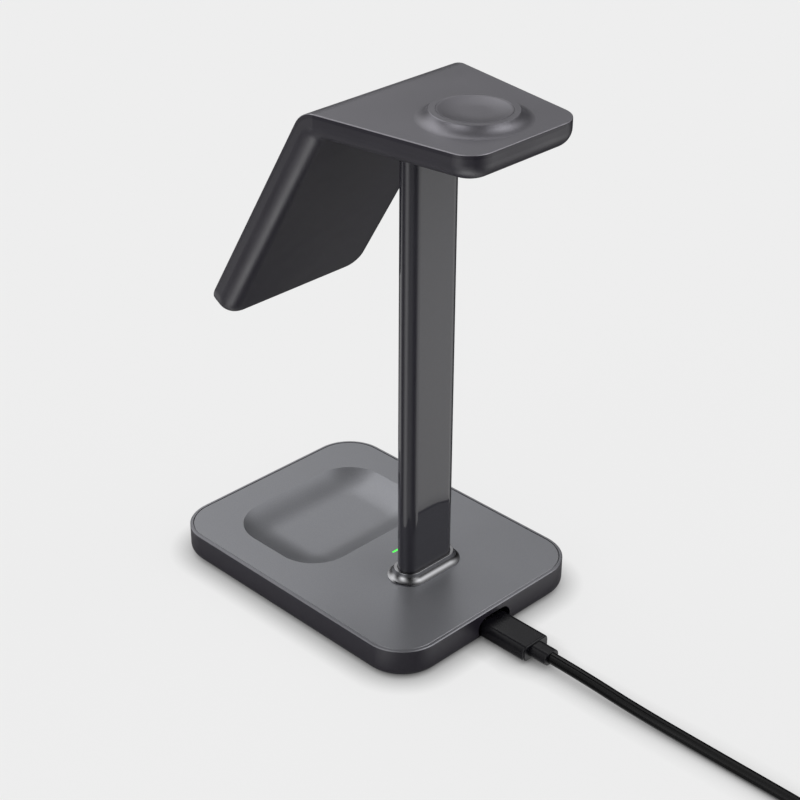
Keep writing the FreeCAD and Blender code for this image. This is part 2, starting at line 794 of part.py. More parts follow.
def make_column():
    body = new_body("column_tube")
    outer = new_sketch(body, y=S.column_back, z=seat_bottom)
    slot(outer, S.column_width, S.column_depth)
    pad(outer, head_floor - seat_bottom)
    wall = S.column_wall * 2
    inner = new_sketch(body, y=S.column_back, z=head_floor)
    slot(inner, S.column_width - wall, S.column_depth - wall)
    pocket(inner, head_floor - seat_bottom)


def make_bracket(label, flange_bottom, spigot_start, spigot_down):
    """A flange with a spigot that fills the end of the column, and a channel for the ribbon."""
    flange = plate(label, S.column_width + S.flange_margin * 2, S.column_depth + S.flange_margin * 2,
                   S.flange_corner, flange_bottom, S.flange_thickness, y=S.column_back)
    body = body_of(flange)
    spigot = new_sketch(body, y=S.column_back, z=spigot_start)
    gap = (S.column_wall + S.fit) * 2
    slot(spigot, S.column_width - gap, S.column_depth - gap)
    joined = pad(spigot, S.spigot_length, down=spigot_down)
    drilled = four_holes(joined, S.screw_radius + S.thread_gap, S.bracket_screw_x, S.bracket_screw_y,
                         S.column_back, flange_bottom + S.flange_thickness, S.flange_thickness)
    start = flange_bottom + S.flange_thickness if spigot_down else spigot_start + S.spigot_length
    channel = new_sketch(body_of(drilled), y=S.column_back, z=start)
    slot(channel, S.channel_width, S.channel_depth)
    pocket(channel, S.flange_thickness + S.spigot_length)


def make_brackets():
    make_bracket("column_foot", foot_bottom, seat_bottom, False)
    make_bracket("column_head", head_floor, head_floor, True)
    screws("foot_screws", S.bracket_screw_x, S.bracket_screw_y, S.column_back,
           foot_bottom - S.head_height, S.base_top - S.screw_radius, S.screw_radius, S.head_radius,
           S.head_height, upwards=True)
    screws("head_screws", S.bracket_screw_x, S.bracket_screw_y, S.column_back,
           head_floor + S.flange_thickness, head_bottom + S.screw_radius / 2, S.screw_radius,
           S.head_radius, S.head_height, upwards=False)


# Collar: a spun trumpet ring round the foot of the column, drawn along the column's oval

def make_collar():
    body = new_body("column_collar")
    path = new_sketch(body, y=S.column_back, z=S.base_top)
    slot(path, S.column_width, S.column_depth)
    profile = new_sketch(body, S.column_back + S.column_depth / 2, S.base_top, 0.0, "YZ_Plane")
    sweep = S.collar_flare - S.collar_rim
    outline(profile,
            ((S.fit, 0.0), (S.collar_flare, 0.0), (S.collar_flare, S.collar_height - sweep),
             (S.collar_rim, S.collar_height), (S.fit, S.collar_height)),
            {2: (S.collar_flare, S.collar_height, sweep)})
    doc.recompute()
    pipe = body.newObject("PartDesign::AdditivePipe", "flare")
    pipe.Profile = profile
    pipe.Spine = path
    settle(pipe)


# The head is a slab folded once: a plate for the watch and a sloping panel for the phone

def bent_profile(sketch, depth, outer_radius, inner_radius, thickness, back, length):
    """Side outline of a layer of the slab: its outer face lies at the depth given."""
    half = tan_half(S.panel_angle)
    top = head_top - depth
    corner_back = S.fold_back + depth * half
    outer_tangent = outer_radius * half
    inner_back = corner_back + thickness * half
    inner_tangent = inner_radius * half
    angle = math.radians(float(S.panel_angle))
    along = Vector(-math.cos(angle), -math.sin(angle), 0)
    inward = Vector(math.sin(angle), -math.cos(angle), 0)
    turn = (0.5 * math.pi, 0.5 * math.pi + angle)

    def arc_at(back_tangent, level, radius):
        centre = Vector(float(back_tangent), float(level) - float(radius), 0)
        return Part.ArcOfCircle(Part.Circle(centre, Vector(0, 0, 1), float(radius)), *turn)

    outer_arc = arc_at(corner_back + outer_tangent, top, outer_radius)
    inner_arc = arc_at(inner_back + inner_tangent, top - thickness, inner_radius)
    fold = Vector(float(corner_back), float(top), 0)
    tip = fold + along * (float(length) - float(depth) * float(half))
    inner_tip = tip + inward * float(thickness)
    upper = sketch.addGeometry(Part.LineSegment(Vector(float(back), float(top), 0), outer_arc.StartPoint))
    bend = sketch.addGeometry(outer_arc)
    face = sketch.addGeometry(Part.LineSegment(outer_arc.EndPoint, tip))
    end = sketch.addGeometry(Part.LineSegment(tip, inner_tip))
    inner_face = sketch.addGeometry(Part.LineSegment(inner_tip, inner_arc.EndPoint))
    inner_bend = sketch.addGeometry(inner_arc)
    lower = sketch.addGeometry(Part.LineSegment(inner_arc.StartPoint,
                                                Vector(float(back), float(top - thickness), 0)))
    rear = sketch.addGeometry(Part.LineSegment(Vector(float(back), float(top - thickness), 0),
                                               Vector(float(back), float(top), 0)))
    constrain(sketch, "Tangent", upper, 2, bend, 1)
    constrain(sketch, "Tangent", bend, 2, face, 1)
    constrain(sketch, "Coincident", face, 2, end, 1)
    constrain(sketch, "Coincident", end, 2, inner_face, 1)
    constrain(sketch, "Tangent", inner_face, 2, inner_bend, 2)
    constrain(sketch, "Tangent", inner_bend, 1, lower, 1)
    constrain(sketch, "Coincident", lower, 2, rear, 1)
    constrain(sketch, "Coincident", rear, 2, upper, 1)
    constrain(sketch, "Horizontal", upper)
    constrain(sketch, "Horizontal", lower)
    constrain(sketch, "Vertical", rear)
    constrain(sketch, "Perpendicular", face, end)
    constrain(sketch, "Parallel", face, inner_face)
    dimension(sketch, "outer_radius", outer_radius, "Radius", bend)
    dimension(sketch, "inner_radius", inner_radius, "Radius", inner_bend)
    dimension(sketch, "rear_depth", thickness, "Distance", rear)
    dimension(sketch, "end_depth", thickness, "Distance", end)
    dimension(sketch, "back", back, "DistanceX", -1, 1, rear, 2)
    dimension(sketch, "top", top, "DistanceY", -1, 1, rear, 2)
    dimension(sketch, "upper_length", back - corner_back - outer_tangent, "Distance", upper)
    dimension(sketch, "face_length", length - depth * half - outer_tangent, "Distance", face)
    sketch.addConstraint(Sketcher.Constraint("Angle", upper, face, angle))
    index = sketch.ConstraintCount - 1
    sketch.renameConstraint(index, "fold")
    sketch.setExpression("Constraints.fold", f"{S.panel_angle.text} * 1deg")


def taper_sides(body, width, back_width, front, back, top, reach):
    """Cuts the watch plate's long sides so that it narrows towards the back."""
    sketch = new_sketch(body, z=top)
    outline(sketch, ((width / 2, front), (width / 2, back), (back_width / 2, back)))
    return mirrored(pocket(sketch, reach))


def panel_place(down, depth=0.0):
    """Distance back and height of a point so far down the panel's outer face and so deep below it."""
    sin, cos = sine(S.panel_angle), cosine(S.panel_angle)
    return S.fold_back - cos * down + sin * depth, head_top - sin * down - cos * depth


def panel_point(down, depth=0.0):
    y, z = panel_place(down, depth)
    return Vector(0, float(y), float(z))


def panel_sketch(body, down, depth):
    """A sketch on a plane that lies parallel to the panel."""
    y, z = panel_place(down, depth)
    return new_sketch(body, 0.0, y, z, tilt=S.panel_angle)


def face_rim(depth, radius):
    """A test for the outer edges of one face of the folded slab, at this depth and fold radius."""
    half = tan_half(S.panel_angle)
    level = head_top - depth
    centre_back = float(S.fold_back + half * depth + half * radius)
    centre_up = float(level - radius)
    turn = Rotation(Vector(1, 0, 0), float(S.panel_angle))
    outward = turn.multVec(Vector(0, 0, 1))
    upward = turn.multVec(Vector(0, 1, 0))
    tip = panel_point(S.panel_length, depth)

    def test(at, way):
        on_face = near(at.z, level) or near((at - tip).dot(outward), 0.0)
        at_end = near(at.y, S.head_back) or near((at - tip).dot(upward), 0.0)
        in_bend = near(math.hypot(at.y - centre_back, at.z - centre_up), radius)
        at_side = near(abs(at.x), S.head_width / 2)
        return (in_bend and at_side) or (on_face and (at_end or not near(abs(way.x), 1.0)))

    return test


def head_layer(label, depth, outer_radius, inner_radius, thickness):
    """One layer of the folded slab, tapered towards the back and with round corners."""
    body = new_body(label)
    side_view = new_sketch(body, role="YZ_Plane")
    bent_profile(side_view, depth, outer_radius, inner_radius, thickness, S.head_back, S.panel_length)
    pad(side_view, S.head_width, both_ways=True)
    taper_start = S.fold_back + S.slab * tan_half(S.panel_angle)
    cut = taper_sides(body, S.head_width, S.head_back_width, taper_start, S.head_back, head_top, S.slab * 2)
    tip = panel_point(S.panel_length).z + float(S.slab)
    rounded = dress("Fillet", cut, S.head_corner,
                    lambda at, way: near(at.y, S.head_back) and near(abs(way.z), 1.0))
    normal = Rotation(Vector(1, 0, 0), float(S.panel_angle)).multVec(Vector(0, 0, 1))
    return dress("Fillet", rounded, S.panel_corner,
                 lambda at, way: near(abs(way.dot(normal)), 1.0) and at.z < tip
                 and near(abs(at.x), S.head_width / 2))


watch_post_x = S.watch_board_width / 2 - S.post_in
watch_post_y = S.watch_board_length / 2 - S.post_in
watch_board_bottom = head_floor + S.watch_board_rise
watch_board_top = watch_board_bottom + S.board_thickness
phone_post_x = S.phone_board_width / 2 - S.post_in
phone_post_y = S.phone_board_length / 2 - S.post_in
shell_depth = S.slab - S.head_wall
lead_depth = shell_depth - S.watch_board_rise
phone_board_depth = lead_depth + S.lead_thickness
phone_board_under = phone_board_depth + S.board_thickness
bore_radius = S.puck_radius + S.fit


# Moulded underside of the head: two hollows joined by a passage, a slot for the column, board posts

def make_head_shell():
    shell = head_layer("head_shell", S.cover_thickness, S.fold_radius - S.cover_thickness,
                       S.inner_fold_radius, S.slab - S.cover_thickness)
    body = body_of(shell)
    dress("Fillet", shell, S.under_round, face_rim(S.slab, S.inner_fold_radius))
    hollow_under_watch(body)
    hollow_under_phone(body)
    opening = new_sketch(body, y=S.column_back, z=head_floor)
    slot(opening, S.column_width + S.fit * 2, S.column_depth + S.fit * 2)
    pocket(opening, S.head_wall)
    posts = new_sketch(body, y=S.watch_board_back, z=head_floor)
    four_circles(posts, S.post_radius, watch_post_x, watch_post_y)
    raised = pad(posts, S.watch_board_rise)
    drilled = four_holes(raised, S.small_screw_radius + S.thread_gap, watch_post_x, watch_post_y,
                         S.watch_board_back, watch_board_bottom, S.watch_board_rise)
    four_holes(drilled, S.screw_radius + S.thread_gap, S.bracket_screw_x, S.bracket_screw_y,
               S.column_back, head_floor, S.head_wall - S.thread_gap * 4)
    tilted_posts = panel_sketch(body, S.phone_down, shell_depth)
    four_circles(tilted_posts, S.post_radius, phone_post_x, phone_post_y)
    pad(tilted_posts, shell_depth - phone_board_under)
    tilted_holes = panel_sketch(body, S.phone_down, phone_board_under)
    four_circles(tilted_holes, S.small_screw_radius + S.thread_gap, phone_post_x, phone_post_y)
    pocket(tilted_holes, shell_depth - phone_board_under)


def hollow_under_watch(body):
    """The hollow of the watch plate, open to the cover and tapered like the plate itself."""
    front = S.fold_back + tan_half(S.panel_angle) * shell_depth + S.fold_web
    back = S.head_back - S.head_wall
    wide = S.head_width / 2 - S.head_wall
    narrow = S.head_back_width / 2 - S.head_wall
    cut_off = (S.head_corner - S.head_wall) * CUT_SHARE
    lean = (wide - narrow) * cut_off / (back - front)
    sketch = new_sketch(body, z=cover_bottom)
    outline(sketch, ((-wide, front), (wide, front), (narrow + lean, back - cut_off), (narrow - cut_off, back),
                     (-(narrow - cut_off), back), (-(narrow + lean), back - cut_off)))
    cut = pocket(sketch, shell_depth - S.cover_thickness)
    dress("Fillet", cut, S.under_round - S.head_wall,
          lambda at, way: near(at.z, head_floor) and at.y > float(front) + 1e-3)


def hollow_under_phone(body):
    """The hollow of the panel, open to the cover, and the passage round the fold."""
    start = tan_half(S.panel_angle) * shell_depth
    stop = S.panel_length - S.head_wall
    sketch = panel_sketch(body, (start + stop) / 2, S.cover_thickness)
    rounded_rectangle(sketch, S.head_width - S.head_wall * 2, stop - start, S.panel_corner - S.head_wall)
    pocket(sketch, shell_depth - S.cover_thickness)
    passage = new_sketch(body, 0.0, 0.0, S.lead_side, "YZ_Plane")
    around = S.lead_clear * 2
    bent_profile(passage, lead_depth - S.lead_clear, S.lead_radius + S.lead_clear,
                 S.lead_radius - S.lead_thickness - S.lead_clear, S.lead_thickness + around,
                 S.lead_passage, S.lead_passage - S.ribbon_thickness * 4)
    pocket(passage, S.lead_width + around, both_ways=True)


# Drawn metal skin over the shell, with the flared ring for the watch and a recess for the phone pad

def make_head_cover():
    cover = head_layer("head_cover", 0.0, S.fold_radius, S.fold_radius - S.cover_thickness,
                       S.cover_thickness)
    body = body_of(cover)
    dress("Fillet", cover, S.cover_round, face_rim(0.0, S.fold_radius))
    profile = new_sketch(body, S.watch_back, head_top, 0.0, "YZ_Plane")
    reach = S.skirt_radius - S.ring_radius
    sweep = (reach * reach + S.watch_rise * S.watch_rise) / (S.watch_rise * 2)
    outline(profile,
            ((bore_radius, -S.cover_thickness), (S.skirt_radius, -S.cover_thickness),
             (S.skirt_radius, 0.0), (S.ring_radius, S.watch_rise), (bore_radius, S.watch_rise)),
            {2: (S.skirt_radius, sweep, sweep)})
    ring = spin("Revolution", profile)
    dress("Chamfer", ring, S.lid_chamfer, lambda at, way: near(at.z, head_top + S.watch_rise))
    bore = new_sketch(body, y=S.watch_back, z=head_top + S.watch_rise)
    circle_at_origin(bore, bore_radius)
    pocket(bore, S.watch_rise + S.cover_thickness)
    recess = panel_sketch(body, S.phone_down, 0.0)
    circle_at_origin(recess, S.grip_radius + S.fit)
    pocket(recess, S.grip_sunk)


# Puck that the watch lies on: a cup held up against the cover by its flange, dished on top

def make_watch_puck():
    body = new_body("watch_puck")
    profile = new_sketch(body, S.watch_back, head_top, 0.0, "YZ_Plane")
    hollow = S.puck_radius - S.puck_wall
    shelf = -S.cover_thickness
    low = shelf - S.puck_flange
    roof = shelf + S.watch_coil_thickness
    rim = S.puck_radius + S.puck_flange_reach
    dish = S.watch_rise - S.dish_depth
    sphere = (S.dish_radius * S.dish_radius + S.dish_depth * S.dish_depth) / (S.dish_depth * 2)
    outline(profile,
            ((hollow, low), (rim, low), (rim, shelf), (S.puck_radius, shelf), (S.puck_radius, S.watch_rise),
             (S.dish_radius, S.watch_rise), (0.0, dish), (0.0, roof), (hollow, roof)),
            {5: (0.0, dish + sphere, sphere)})
    cup = spin("Revolution", profile)
    dress("Chamfer", cup, S.puck_chamfer,
          lambda at, way: near(at.z, head_top + S.watch_rise)
          and near(math.hypot(at.x, at.y - float(S.watch_back)), S.puck_radius))


def make_watch_stack():
    """Coil, magnet and ferrite in the puck, and the board under them."""
    gap = S.fit * 2
    outer = S.puck_radius - S.puck_wall - gap
    disc("watch_coil", outer, cover_bottom, S.watch_coil_thickness, S.watch_back, S.watch_coil_bore)
    disc("watch_magnet", S.watch_magnet_radius, cover_bottom, S.watch_coil_thickness, S.watch_back)
    disc("watch_ferrite", outer, cover_bottom - S.puck_flange, S.puck_flange, S.watch_back)
    board = plate("watch_board", S.watch_board_width, S.watch_board_length, S.post_in, watch_board_bottom,
                  S.board_thickness, y=S.watch_board_back)
    four_holes(board, S.small_screw_radius + S.thread_gap, watch_post_x, watch_post_y,
               S.watch_board_back, watch_board_top, S.board_thickness)
    chips("watch_board_parts", S.watch_board_width, S.watch_board_length, S.watch_board_back,
          watch_board_top,
          ((-0.18, -0.12, 0.15, 0.20), (0.18, 0.04, 0.12, 0.24), (0.0, 0.32, 0.20, 0.12)))
    screws("watch_board_screws", watch_post_x, watch_post_y, S.watch_board_back, watch_board_top,
           head_floor + S.small_screw_radius, S.small_screw_radius, S.small_head_radius,
           S.small_head_height, upwards=False)


# Phone side. Each piece is drawn with the panel's outer face as its ground, then set on the slope

def on_panel(item):
    y, z = panel_place(S.phone_down)
    place(item, 0.0, y, z, (1, 0, 0), S.panel_angle)


def make_phone_stack():
    behind = -S.cover_thickness
    grip = disc("grip_pad", S.grip_radius, -S.grip_sunk, S.grip_sunk + S.grip_proud)
    dress("Chamfer", grip, S.grip_chamfer, lambda at, way: near(at.z, S.grip_proud))
    ring = disc("phone_magnets", S.magnet_outer, behind - S.magnet_thickness, S.magnet_thickness, 0.0,
                S.magnet_inner)
    slit = new_sketch(body_of(ring), z=behind)
    half_gap = S.magnet_gap / 2
    outline(slit, ((S.phone_ferrite_radius, -half_gap), (S.grip_radius, -half_gap),
                   (S.grip_radius, half_gap), (S.phone_ferrite_radius, half_gap)))
    round_about(pocket(slit, S.magnet_thickness), slit, MAGNETS)
    coil_bottom = behind - S.phone_coil_thickness
    coil = disc("phone_coil", S.phone_coil_radius, coil_bottom, S.phone_coil_thickness, 0.0,
                S.phone_coil_bore)
    ferrite = disc("phone_ferrite", S.phone_ferrite_radius, coil_bottom - S.phone_ferrite_thickness,
                   S.phone_ferrite_thickness)
    face = -phone_board_depth
    board = plate("phone_board", S.phone_board_width, S.phone_board_length, S.post_in,
                  -phone_board_under, S.board_thickness)
    four_holes(board, S.small_screw_radius + S.thread_gap, phone_post_x, phone_post_y, 0.0, face,
               S.board_thickness)
    parts = chips("phone_board_parts", S.phone_board_width, S.phone_board_length, 0.0, face,
                  ((-0.23, 0.18, 0.16, 0.20), (0.20, -0.12, 0.14, 0.18), (-0.18, -0.26, 0.11, 0.12)))
    held = screws("phone_board_screws", phone_post_x, phone_post_y, 0.0, face,
                  S.thread_gap - shell_depth, S.small_screw_radius, S.small_head_radius,
                  S.small_head_height, upwards=False)
    for item in (body_of(grip), body_of(ring), body_of(coil), body_of(ferrite), body_of(board), parts, held):
        on_panel(item)


# Flat lead from the watch board round the fold to the phone board, and the ribbon up the column

def make_phone_lead():
    body = new_body("phone_lead")
    side_view = new_sketch(body, 0.0, 0.0, S.lead_side, "YZ_Plane")
    bent_profile(side_view, lead_depth, S.lead_radius, S.lead_radius - S.lead_thickness,
                 S.lead_thickness, S.ribbon_back, S.lead_reach)
    pad(side_view, S.lead_width, both_ways=True)


def make_column_ribbon():
    body = new_body("column_ribbon")
    side_view = new_sketch(body, role="YZ_Plane")
    front = S.column_back - S.ribbon_thickness / 2
    back = S.column_back + S.ribbon_thickness / 2
    top = head_floor + S.watch_board_rise
    under = top - S.ribbon_thickness
    outline(side_view, ((front, board_top), (back, board_top), (back, under), (S.ribbon_back, under),
                        (S.ribbon_back, top), (front, top)))
    strip = pad(side_view, S.ribbon_width, both_ways=True)
    turned = dress("Fillet", strip, S.ribbon_thickness * 1.5,
                   lambda at, way: near(at.y, front) and near(at.z, top))
    dress("Fillet", turned, S.ribbon_thickness / 2, lambda at, way: near(at.y, back) and near(at.z, under))


# Plug at each end of the lead: a metal tip, a moulded grip and the sleeve the cord comes out of

def make_plug(prefix, back, turn):
    tip = new_body(f"{prefix}_tip")
    blade = new_sketch(tip, role="XZ_Plane")
    slot(blade, S.tip_width, S.tip_tall)
    pad(blade, S.tip_length)
    mouth = new_sketch(tip, 0.0, 0.0, S.tip_length, "XZ_Plane")
    rounded_rectangle(mouth, S.tip_slot_width, S.tip_slot_tall, S.thread_gap)
    pocket(mouth, S.tip_slot_depth)
    grip = new_body(f"{prefix}_grip")
    section = new_sketch(grip, role="XZ_Plane")
    rounded_rectangle(section, S.plug_width, S.plug_tall, S.plug_round)
    block = pad(section, S.plug_length, down=True)
    dress("Fillet", block, S.plug_end_round, lambda at, way: near(at.y, S.plug_length))
    sleeve = new_body(f"{prefix}_sleeve")
    end = new_sketch(sleeve, 0.0, 0.0, -S.plug_length, "XZ_Plane")
    slot(end, S.relief_width, S.relief_tall)
    spout = pad(end, S.relief_length, down=True)
    dress("Fillet", spout, S.relief_round, lambda at, way: near(at.y, S.plug_length + S.relief_length))
    for item in (tip, grip, sleeve):
        if turn:
            place(item, S.far_plug_side, back, S.plug_tall / 2, angle=turn)
        else:
            place(item, 0.0, back, S.port_height)


# Power lead: a round cord in straight runs and tangent bends, its spare length in a flat coil

def route(points):
    """The cord's middle line through hand-set points, and the radius of each bend."""
    edges, radii = [], []
    start = points[0]
    for before, corner, after in zip(points, points[1:], points[2:]):
        arrive, leave = corner - before, after - corner
        half = arrive.getAngle(leave) / 2
        cut = 0.45 * min(arrive.Length, leave.Length)
        radius = cut / math.tan(half)
        arrive.normalize()
        leave.normalize()
        inward = leave - arrive
        inward.normalize()
        begin, end = corner - arrive * cut, corner + leave * cut
        middle = corner + inward * (radius / math.cos(half) - radius)
        edges.append(Part.LineSegment(start, begin).toShape())
        edges.append(Part.Arc(begin, middle, end).toShape())
        radii.append(radius)
        start = end
    edges.append(Part.LineSegment(start, points[-1]).toShape())
    return Part.Wire(edges), radii


def add_cord(label, points):
    corners = [Vector(*point) for point in points]
    line, radii = route(corners)
    ring = Part.Wire(Part.makeCircle(float(S.cord_diameter) / 2, corners[0], corners[1] - corners[0]))
    solid = line.makePipeShell([ring], True, True)
    full = math.pi * (float(S.cord_diameter) / 2) ** 2 * line.Length
    print(f"{label}: length {line.Length:.1f}, bends {[round(r, 1) for r in radii]}, "
          f"volume share {solid.Volume / full:.4f}")
    add_shape(label, solid)


def add_shape(label, shape):
    item = doc.addObject("Part::Feature", label)
    item.Label = label
    item.Shape = shape
    NODES.append(item)


def make_cords():
    radius = float(S.cord_diameter) / 2
    lying = radius + 0.02
    port, floor_z = float(S.port_height), float(S.plug_tall) / 2
    sleeve = float(S.plug_length + S.relief_length)
    start, stop = float(plug_back) + sleeve, float(S.far_plug_back) - sleeve
    middle = Vector(float(S.coil_side), float(S.coil_back), 0)
    height = float(S.coil_height)
    outer_turn = middle.x - float(S.coil_radius) + radius
    arrive = Vector(outer_turn, middle.y - 16.0, lying)
    level, fall, land, turn = (start + float(way) for way in
                               (S.cord_level, S.cord_fall, S.cord_land, S.cord_turn))
    add_cord("cord_run", ((0.0, start, port), (0.0, level, port), (0.2, fall, port / 2 + 1.0),
                          (-0.9, land, lying), (outer_turn, turn, lying), tuple(arrive)))
    far_side = float(S.far_plug_side)
    leave, down = Vector(0.2, middle.y + 20.0, 4.9), Vector(0.8, middle.y + 31.0, 3.75)
    add_cord("cord_tail", (tuple(leave), tuple(down), (far_side, stop - 8.0, floor_z),
                           (far_side, stop, floor_z)))
    ring = Part.makeCylinder(float(S.coil_radius), height, middle)
    hole = Part.makeCylinder(float(S.coil_bore), height, middle)
    arriving = Part.makeCylinder(radius, middle.y - arrive.y, arrive, Vector(0, 1, 0))
    leaving = Part.makeCylinder(radius, 10.0, leave, leave - down)
    add_shape("cord_coil", ring.cut(hole).multiFuse([arriving, leaving]).removeSplitter())


make_base_housing()
make_foot_pad()
make_base_lid()
make_ballast()
make_earbud_coil()
make_main_board()
make_socket()
make_status_light()
make_base_screws()
make_column()
make_brackets()
make_collar()
make_column_ribbon()
make_head_shell()
make_head_cover()
make_watch_puck()
make_watch_stack()
make_phone_stack()
make_phone_lead()
make_plug("plug", plug_back, 0.0)
make_plug("far_plug", S.far_plug_back, 180.0)
make_cords()

doc.recompute()
for item in doc.Objects:
    if "Invalid" in item.State or "Error" in item.State:
        raise ValueError(f"{item.Label} did not build: {item.State}")
os.makedirs("parts", exist_ok=True)
for node in NODES:
    if node.Shape.isNull() or not node.Shape.isValid():
        raise ValueError(f"{node.Label} has no sound shape")
    node.Shape.exportStep(f"parts/{node.Label}.step")
    print(f"{node.Label:22s} solids {len(node.Shape.Solids):2d}  volume {node.Shape.Volume:10.1f}")
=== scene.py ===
import math

import bmesh
import bpy
from mathutils import Matrix, Vector


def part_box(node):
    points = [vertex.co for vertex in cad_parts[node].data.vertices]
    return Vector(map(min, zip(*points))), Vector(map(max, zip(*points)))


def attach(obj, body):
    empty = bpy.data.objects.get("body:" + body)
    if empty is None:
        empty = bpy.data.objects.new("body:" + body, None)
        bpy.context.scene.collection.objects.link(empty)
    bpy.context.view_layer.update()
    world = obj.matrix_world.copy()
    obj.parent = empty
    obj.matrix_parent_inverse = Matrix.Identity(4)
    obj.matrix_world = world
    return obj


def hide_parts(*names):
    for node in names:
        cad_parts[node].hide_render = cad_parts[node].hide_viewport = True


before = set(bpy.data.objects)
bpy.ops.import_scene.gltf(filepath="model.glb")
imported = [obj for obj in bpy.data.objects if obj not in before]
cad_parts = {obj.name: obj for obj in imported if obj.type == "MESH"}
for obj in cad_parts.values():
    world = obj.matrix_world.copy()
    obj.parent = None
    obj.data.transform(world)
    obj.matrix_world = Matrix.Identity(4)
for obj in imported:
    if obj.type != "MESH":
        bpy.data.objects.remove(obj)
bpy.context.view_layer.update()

# Viewpoint: a long lens at the height of the head, looking down at the power side of the stand
# from its right-hand corner. The picture is square.

yaw, pitch, roll = math.radians(44.99), math.radians(29.81), 0.005
away = Vector((math.cos(pitch) * math.cos(yaw), math.cos(pitch) * math.sin(yaw), math.sin(pitch)))
level = Vector((-math.sin(yaw), math.cos(yaw), 0.0))
above = away.cross(level)
picture_right = level * math.cos(roll) + above * math.sin(roll)
picture_up = above * math.cos(roll) - level * math.sin(roll)
camera = bpy.data.objects.new("viewpoint", bpy.data.cameras.new("viewpoint"))
bpy.context.scene.collection.objects.link(camera)
camera.data.lens = 83.085
camera.data.sensor_width = 36.0
camera.data.clip_start = 0.01
camera.data.clip_end = 20.0
camera.matrix_world = Matrix.Translation((0.3834, 0.3962, 0.3843)) @ Matrix(
    (picture_right, picture_up, away)).transposed().to_4x4()
bpy.context.scene.camera = camera


# Power lead: a soft round cord, 4.1 mm thick and about a metre long. It comes out of its plug's
# sleeve, drops to the desk and runs straight back; the spare length lies in a flat coil.

cord_thickness = 0.0041
lying = 0.00207
run = [(0.0, 0.085, 0.00415), (0.0, 0.098, 0.00415), (0.0002, 0.121, 0.00308), (-0.0009, 0.148, lying),
       (-0.0012, 0.176, lying), (-0.0012, 0.195, lying), (-0.0012, 0.204, lying)]

# Three turns wind inwards on the desk and three wind out again on top of them.
coil_middle = Vector((0.02815, 0.211))
points_a_turn, turns_a_layer, climb = 20, 3.0, 0.25
outer_reach, inner_reach, turn_gap, layer_rise = 0.0293, 0.0167, 0.0042, 0.00415
coil = []
for step in range(1, int(2 * turns_a_layer) * points_a_turn):
    turns = step / points_a_turn
    rise = layer_rise * min(max((turns - turns_a_layer) / climb, 0.0), 1.0)
    if turns < turns_a_layer:
        reach = outer_reach - turn_gap * turns
    else:
        reach = inner_reach + turn_gap * max(turns - turns_a_layer - climb, 0.0)
    angle = math.pi - 2 * math.pi * turns
    coil.append((coil_middle.x + reach * math.cos(angle), coil_middle.y + reach * math.sin(angle),
                 lying + rise))
tail = [(0.0001, 0.216, 0.0062), (0.0001, 0.224, 0.0058), (0.0002, 0.231, 0.0049),
        (0.0008, 0.242, 0.00375), (0.0013, 0.252, 0.00325), (0.0013, 0.260, 0.00325)]
lead_curve = bpy.data.curves.new("power_cord", "CURVE")
lead_curve.dimensions = "3D"
route = run + coil + tail
line = lead_curve.splines.new("NURBS")
line.points.add(len(route) - 1)
for point, place in zip(line.points, route):
    point.co = (*place, 1.0)
line.order_u = 3
line.use_endpoint_u = True
line.resolution_u = 6
lead_curve.bevel_depth = cord_thickness / 2
lead_curve.bevel_resolution = 5
cord = bpy.data.objects.new("power_cord", lead_curve)
bpy.context.scene.collection.objects.link(cord)


def reckon(tree, operation, *values):
    """Adds one sum to a node tree. Each value is a number or the output of another node."""
    node = tree.nodes.new("ShaderNodeMath")
    node.operation = operation
    for socket, value in zip(node.inputs, values):
        if isinstance(value, (int, float)):
            socket.default_value = value
        else:
            tree.links.new(value, socket)
    return node.outputs["Value"]


def make_grain():
    """Fine and slow variation over a surface: a colour, a roughness and a height."""
    group = bpy.data.node_groups.new("surface_grain", "ShaderNodeTree")
    for name, kind in (("Grain Scale", "Float"), ("Cloud Scale", "Float"), ("Dark", "Color"),
                       ("Light", "Color"), ("Smooth", "Float"), ("Rough", "Float")):
        group.interface.new_socket(name, in_out="INPUT", socket_type=f"NodeSocket{kind}")
    for name, kind in (("Color", "Color"), ("Roughness", "Float"), ("Height", "Float")):
        group.interface.new_socket(name, in_out="OUTPUT", socket_type=f"NodeSocket{kind}")
    given = group.nodes.new("NodeGroupInput")
    result = group.nodes.new("NodeGroupOutput")
    coordinates = group.nodes.new("ShaderNodeTexCoord")
    spread = []
    for socket, detail in (("Grain Scale", 3.0), ("Cloud Scale", 2.0)):
        noise = group.nodes.new("ShaderNodeTexNoise")
        noise.inputs["Detail"].default_value = detail
        group.links.new(coordinates.outputs["Object"], noise.inputs["Vector"])
        group.links.new(given.outputs[socket], noise.inputs["Scale"])
        stretch = group.nodes.new("ShaderNodeMapRange")
        stretch.inputs["From Min"].default_value = 0.3
        stretch.inputs["From Max"].default_value = 0.7
        group.links.new(noise.outputs["Fac"], stretch.inputs["Value"])
        spread.append(stretch.outputs["Result"])
    fine, slow = spread
    both = reckon(group, "MULTIPLY_ADD", fine, 0.65, reckon(group, "MULTIPLY", slow, 0.35))
    tones = group.nodes.new("ShaderNodeMix")
    tones.data_type = "RGBA"
    group.links.new(both, tones.inputs["Factor"])
    group.links.new(given.outputs["Dark"], tones.inputs["A"])
    group.links.new(given.outputs["Light"], tones.inputs["B"])
    polish = group.nodes.new("ShaderNodeMapRange")
    group.links.new(slow, polish.inputs["Value"])
    group.links.new(given.outputs["Smooth"], polish.inputs["To Min"])
    group.links.new(given.outputs["Rough"], polish.inputs["To Max"])
    group.links.new(tones.outputs["Result"], result.inputs["Color"])
    group.links.new(polish.outputs["Result"], result.inputs["Roughness"])
    group.links.new(fine, result.inputs["Height"])
    return group


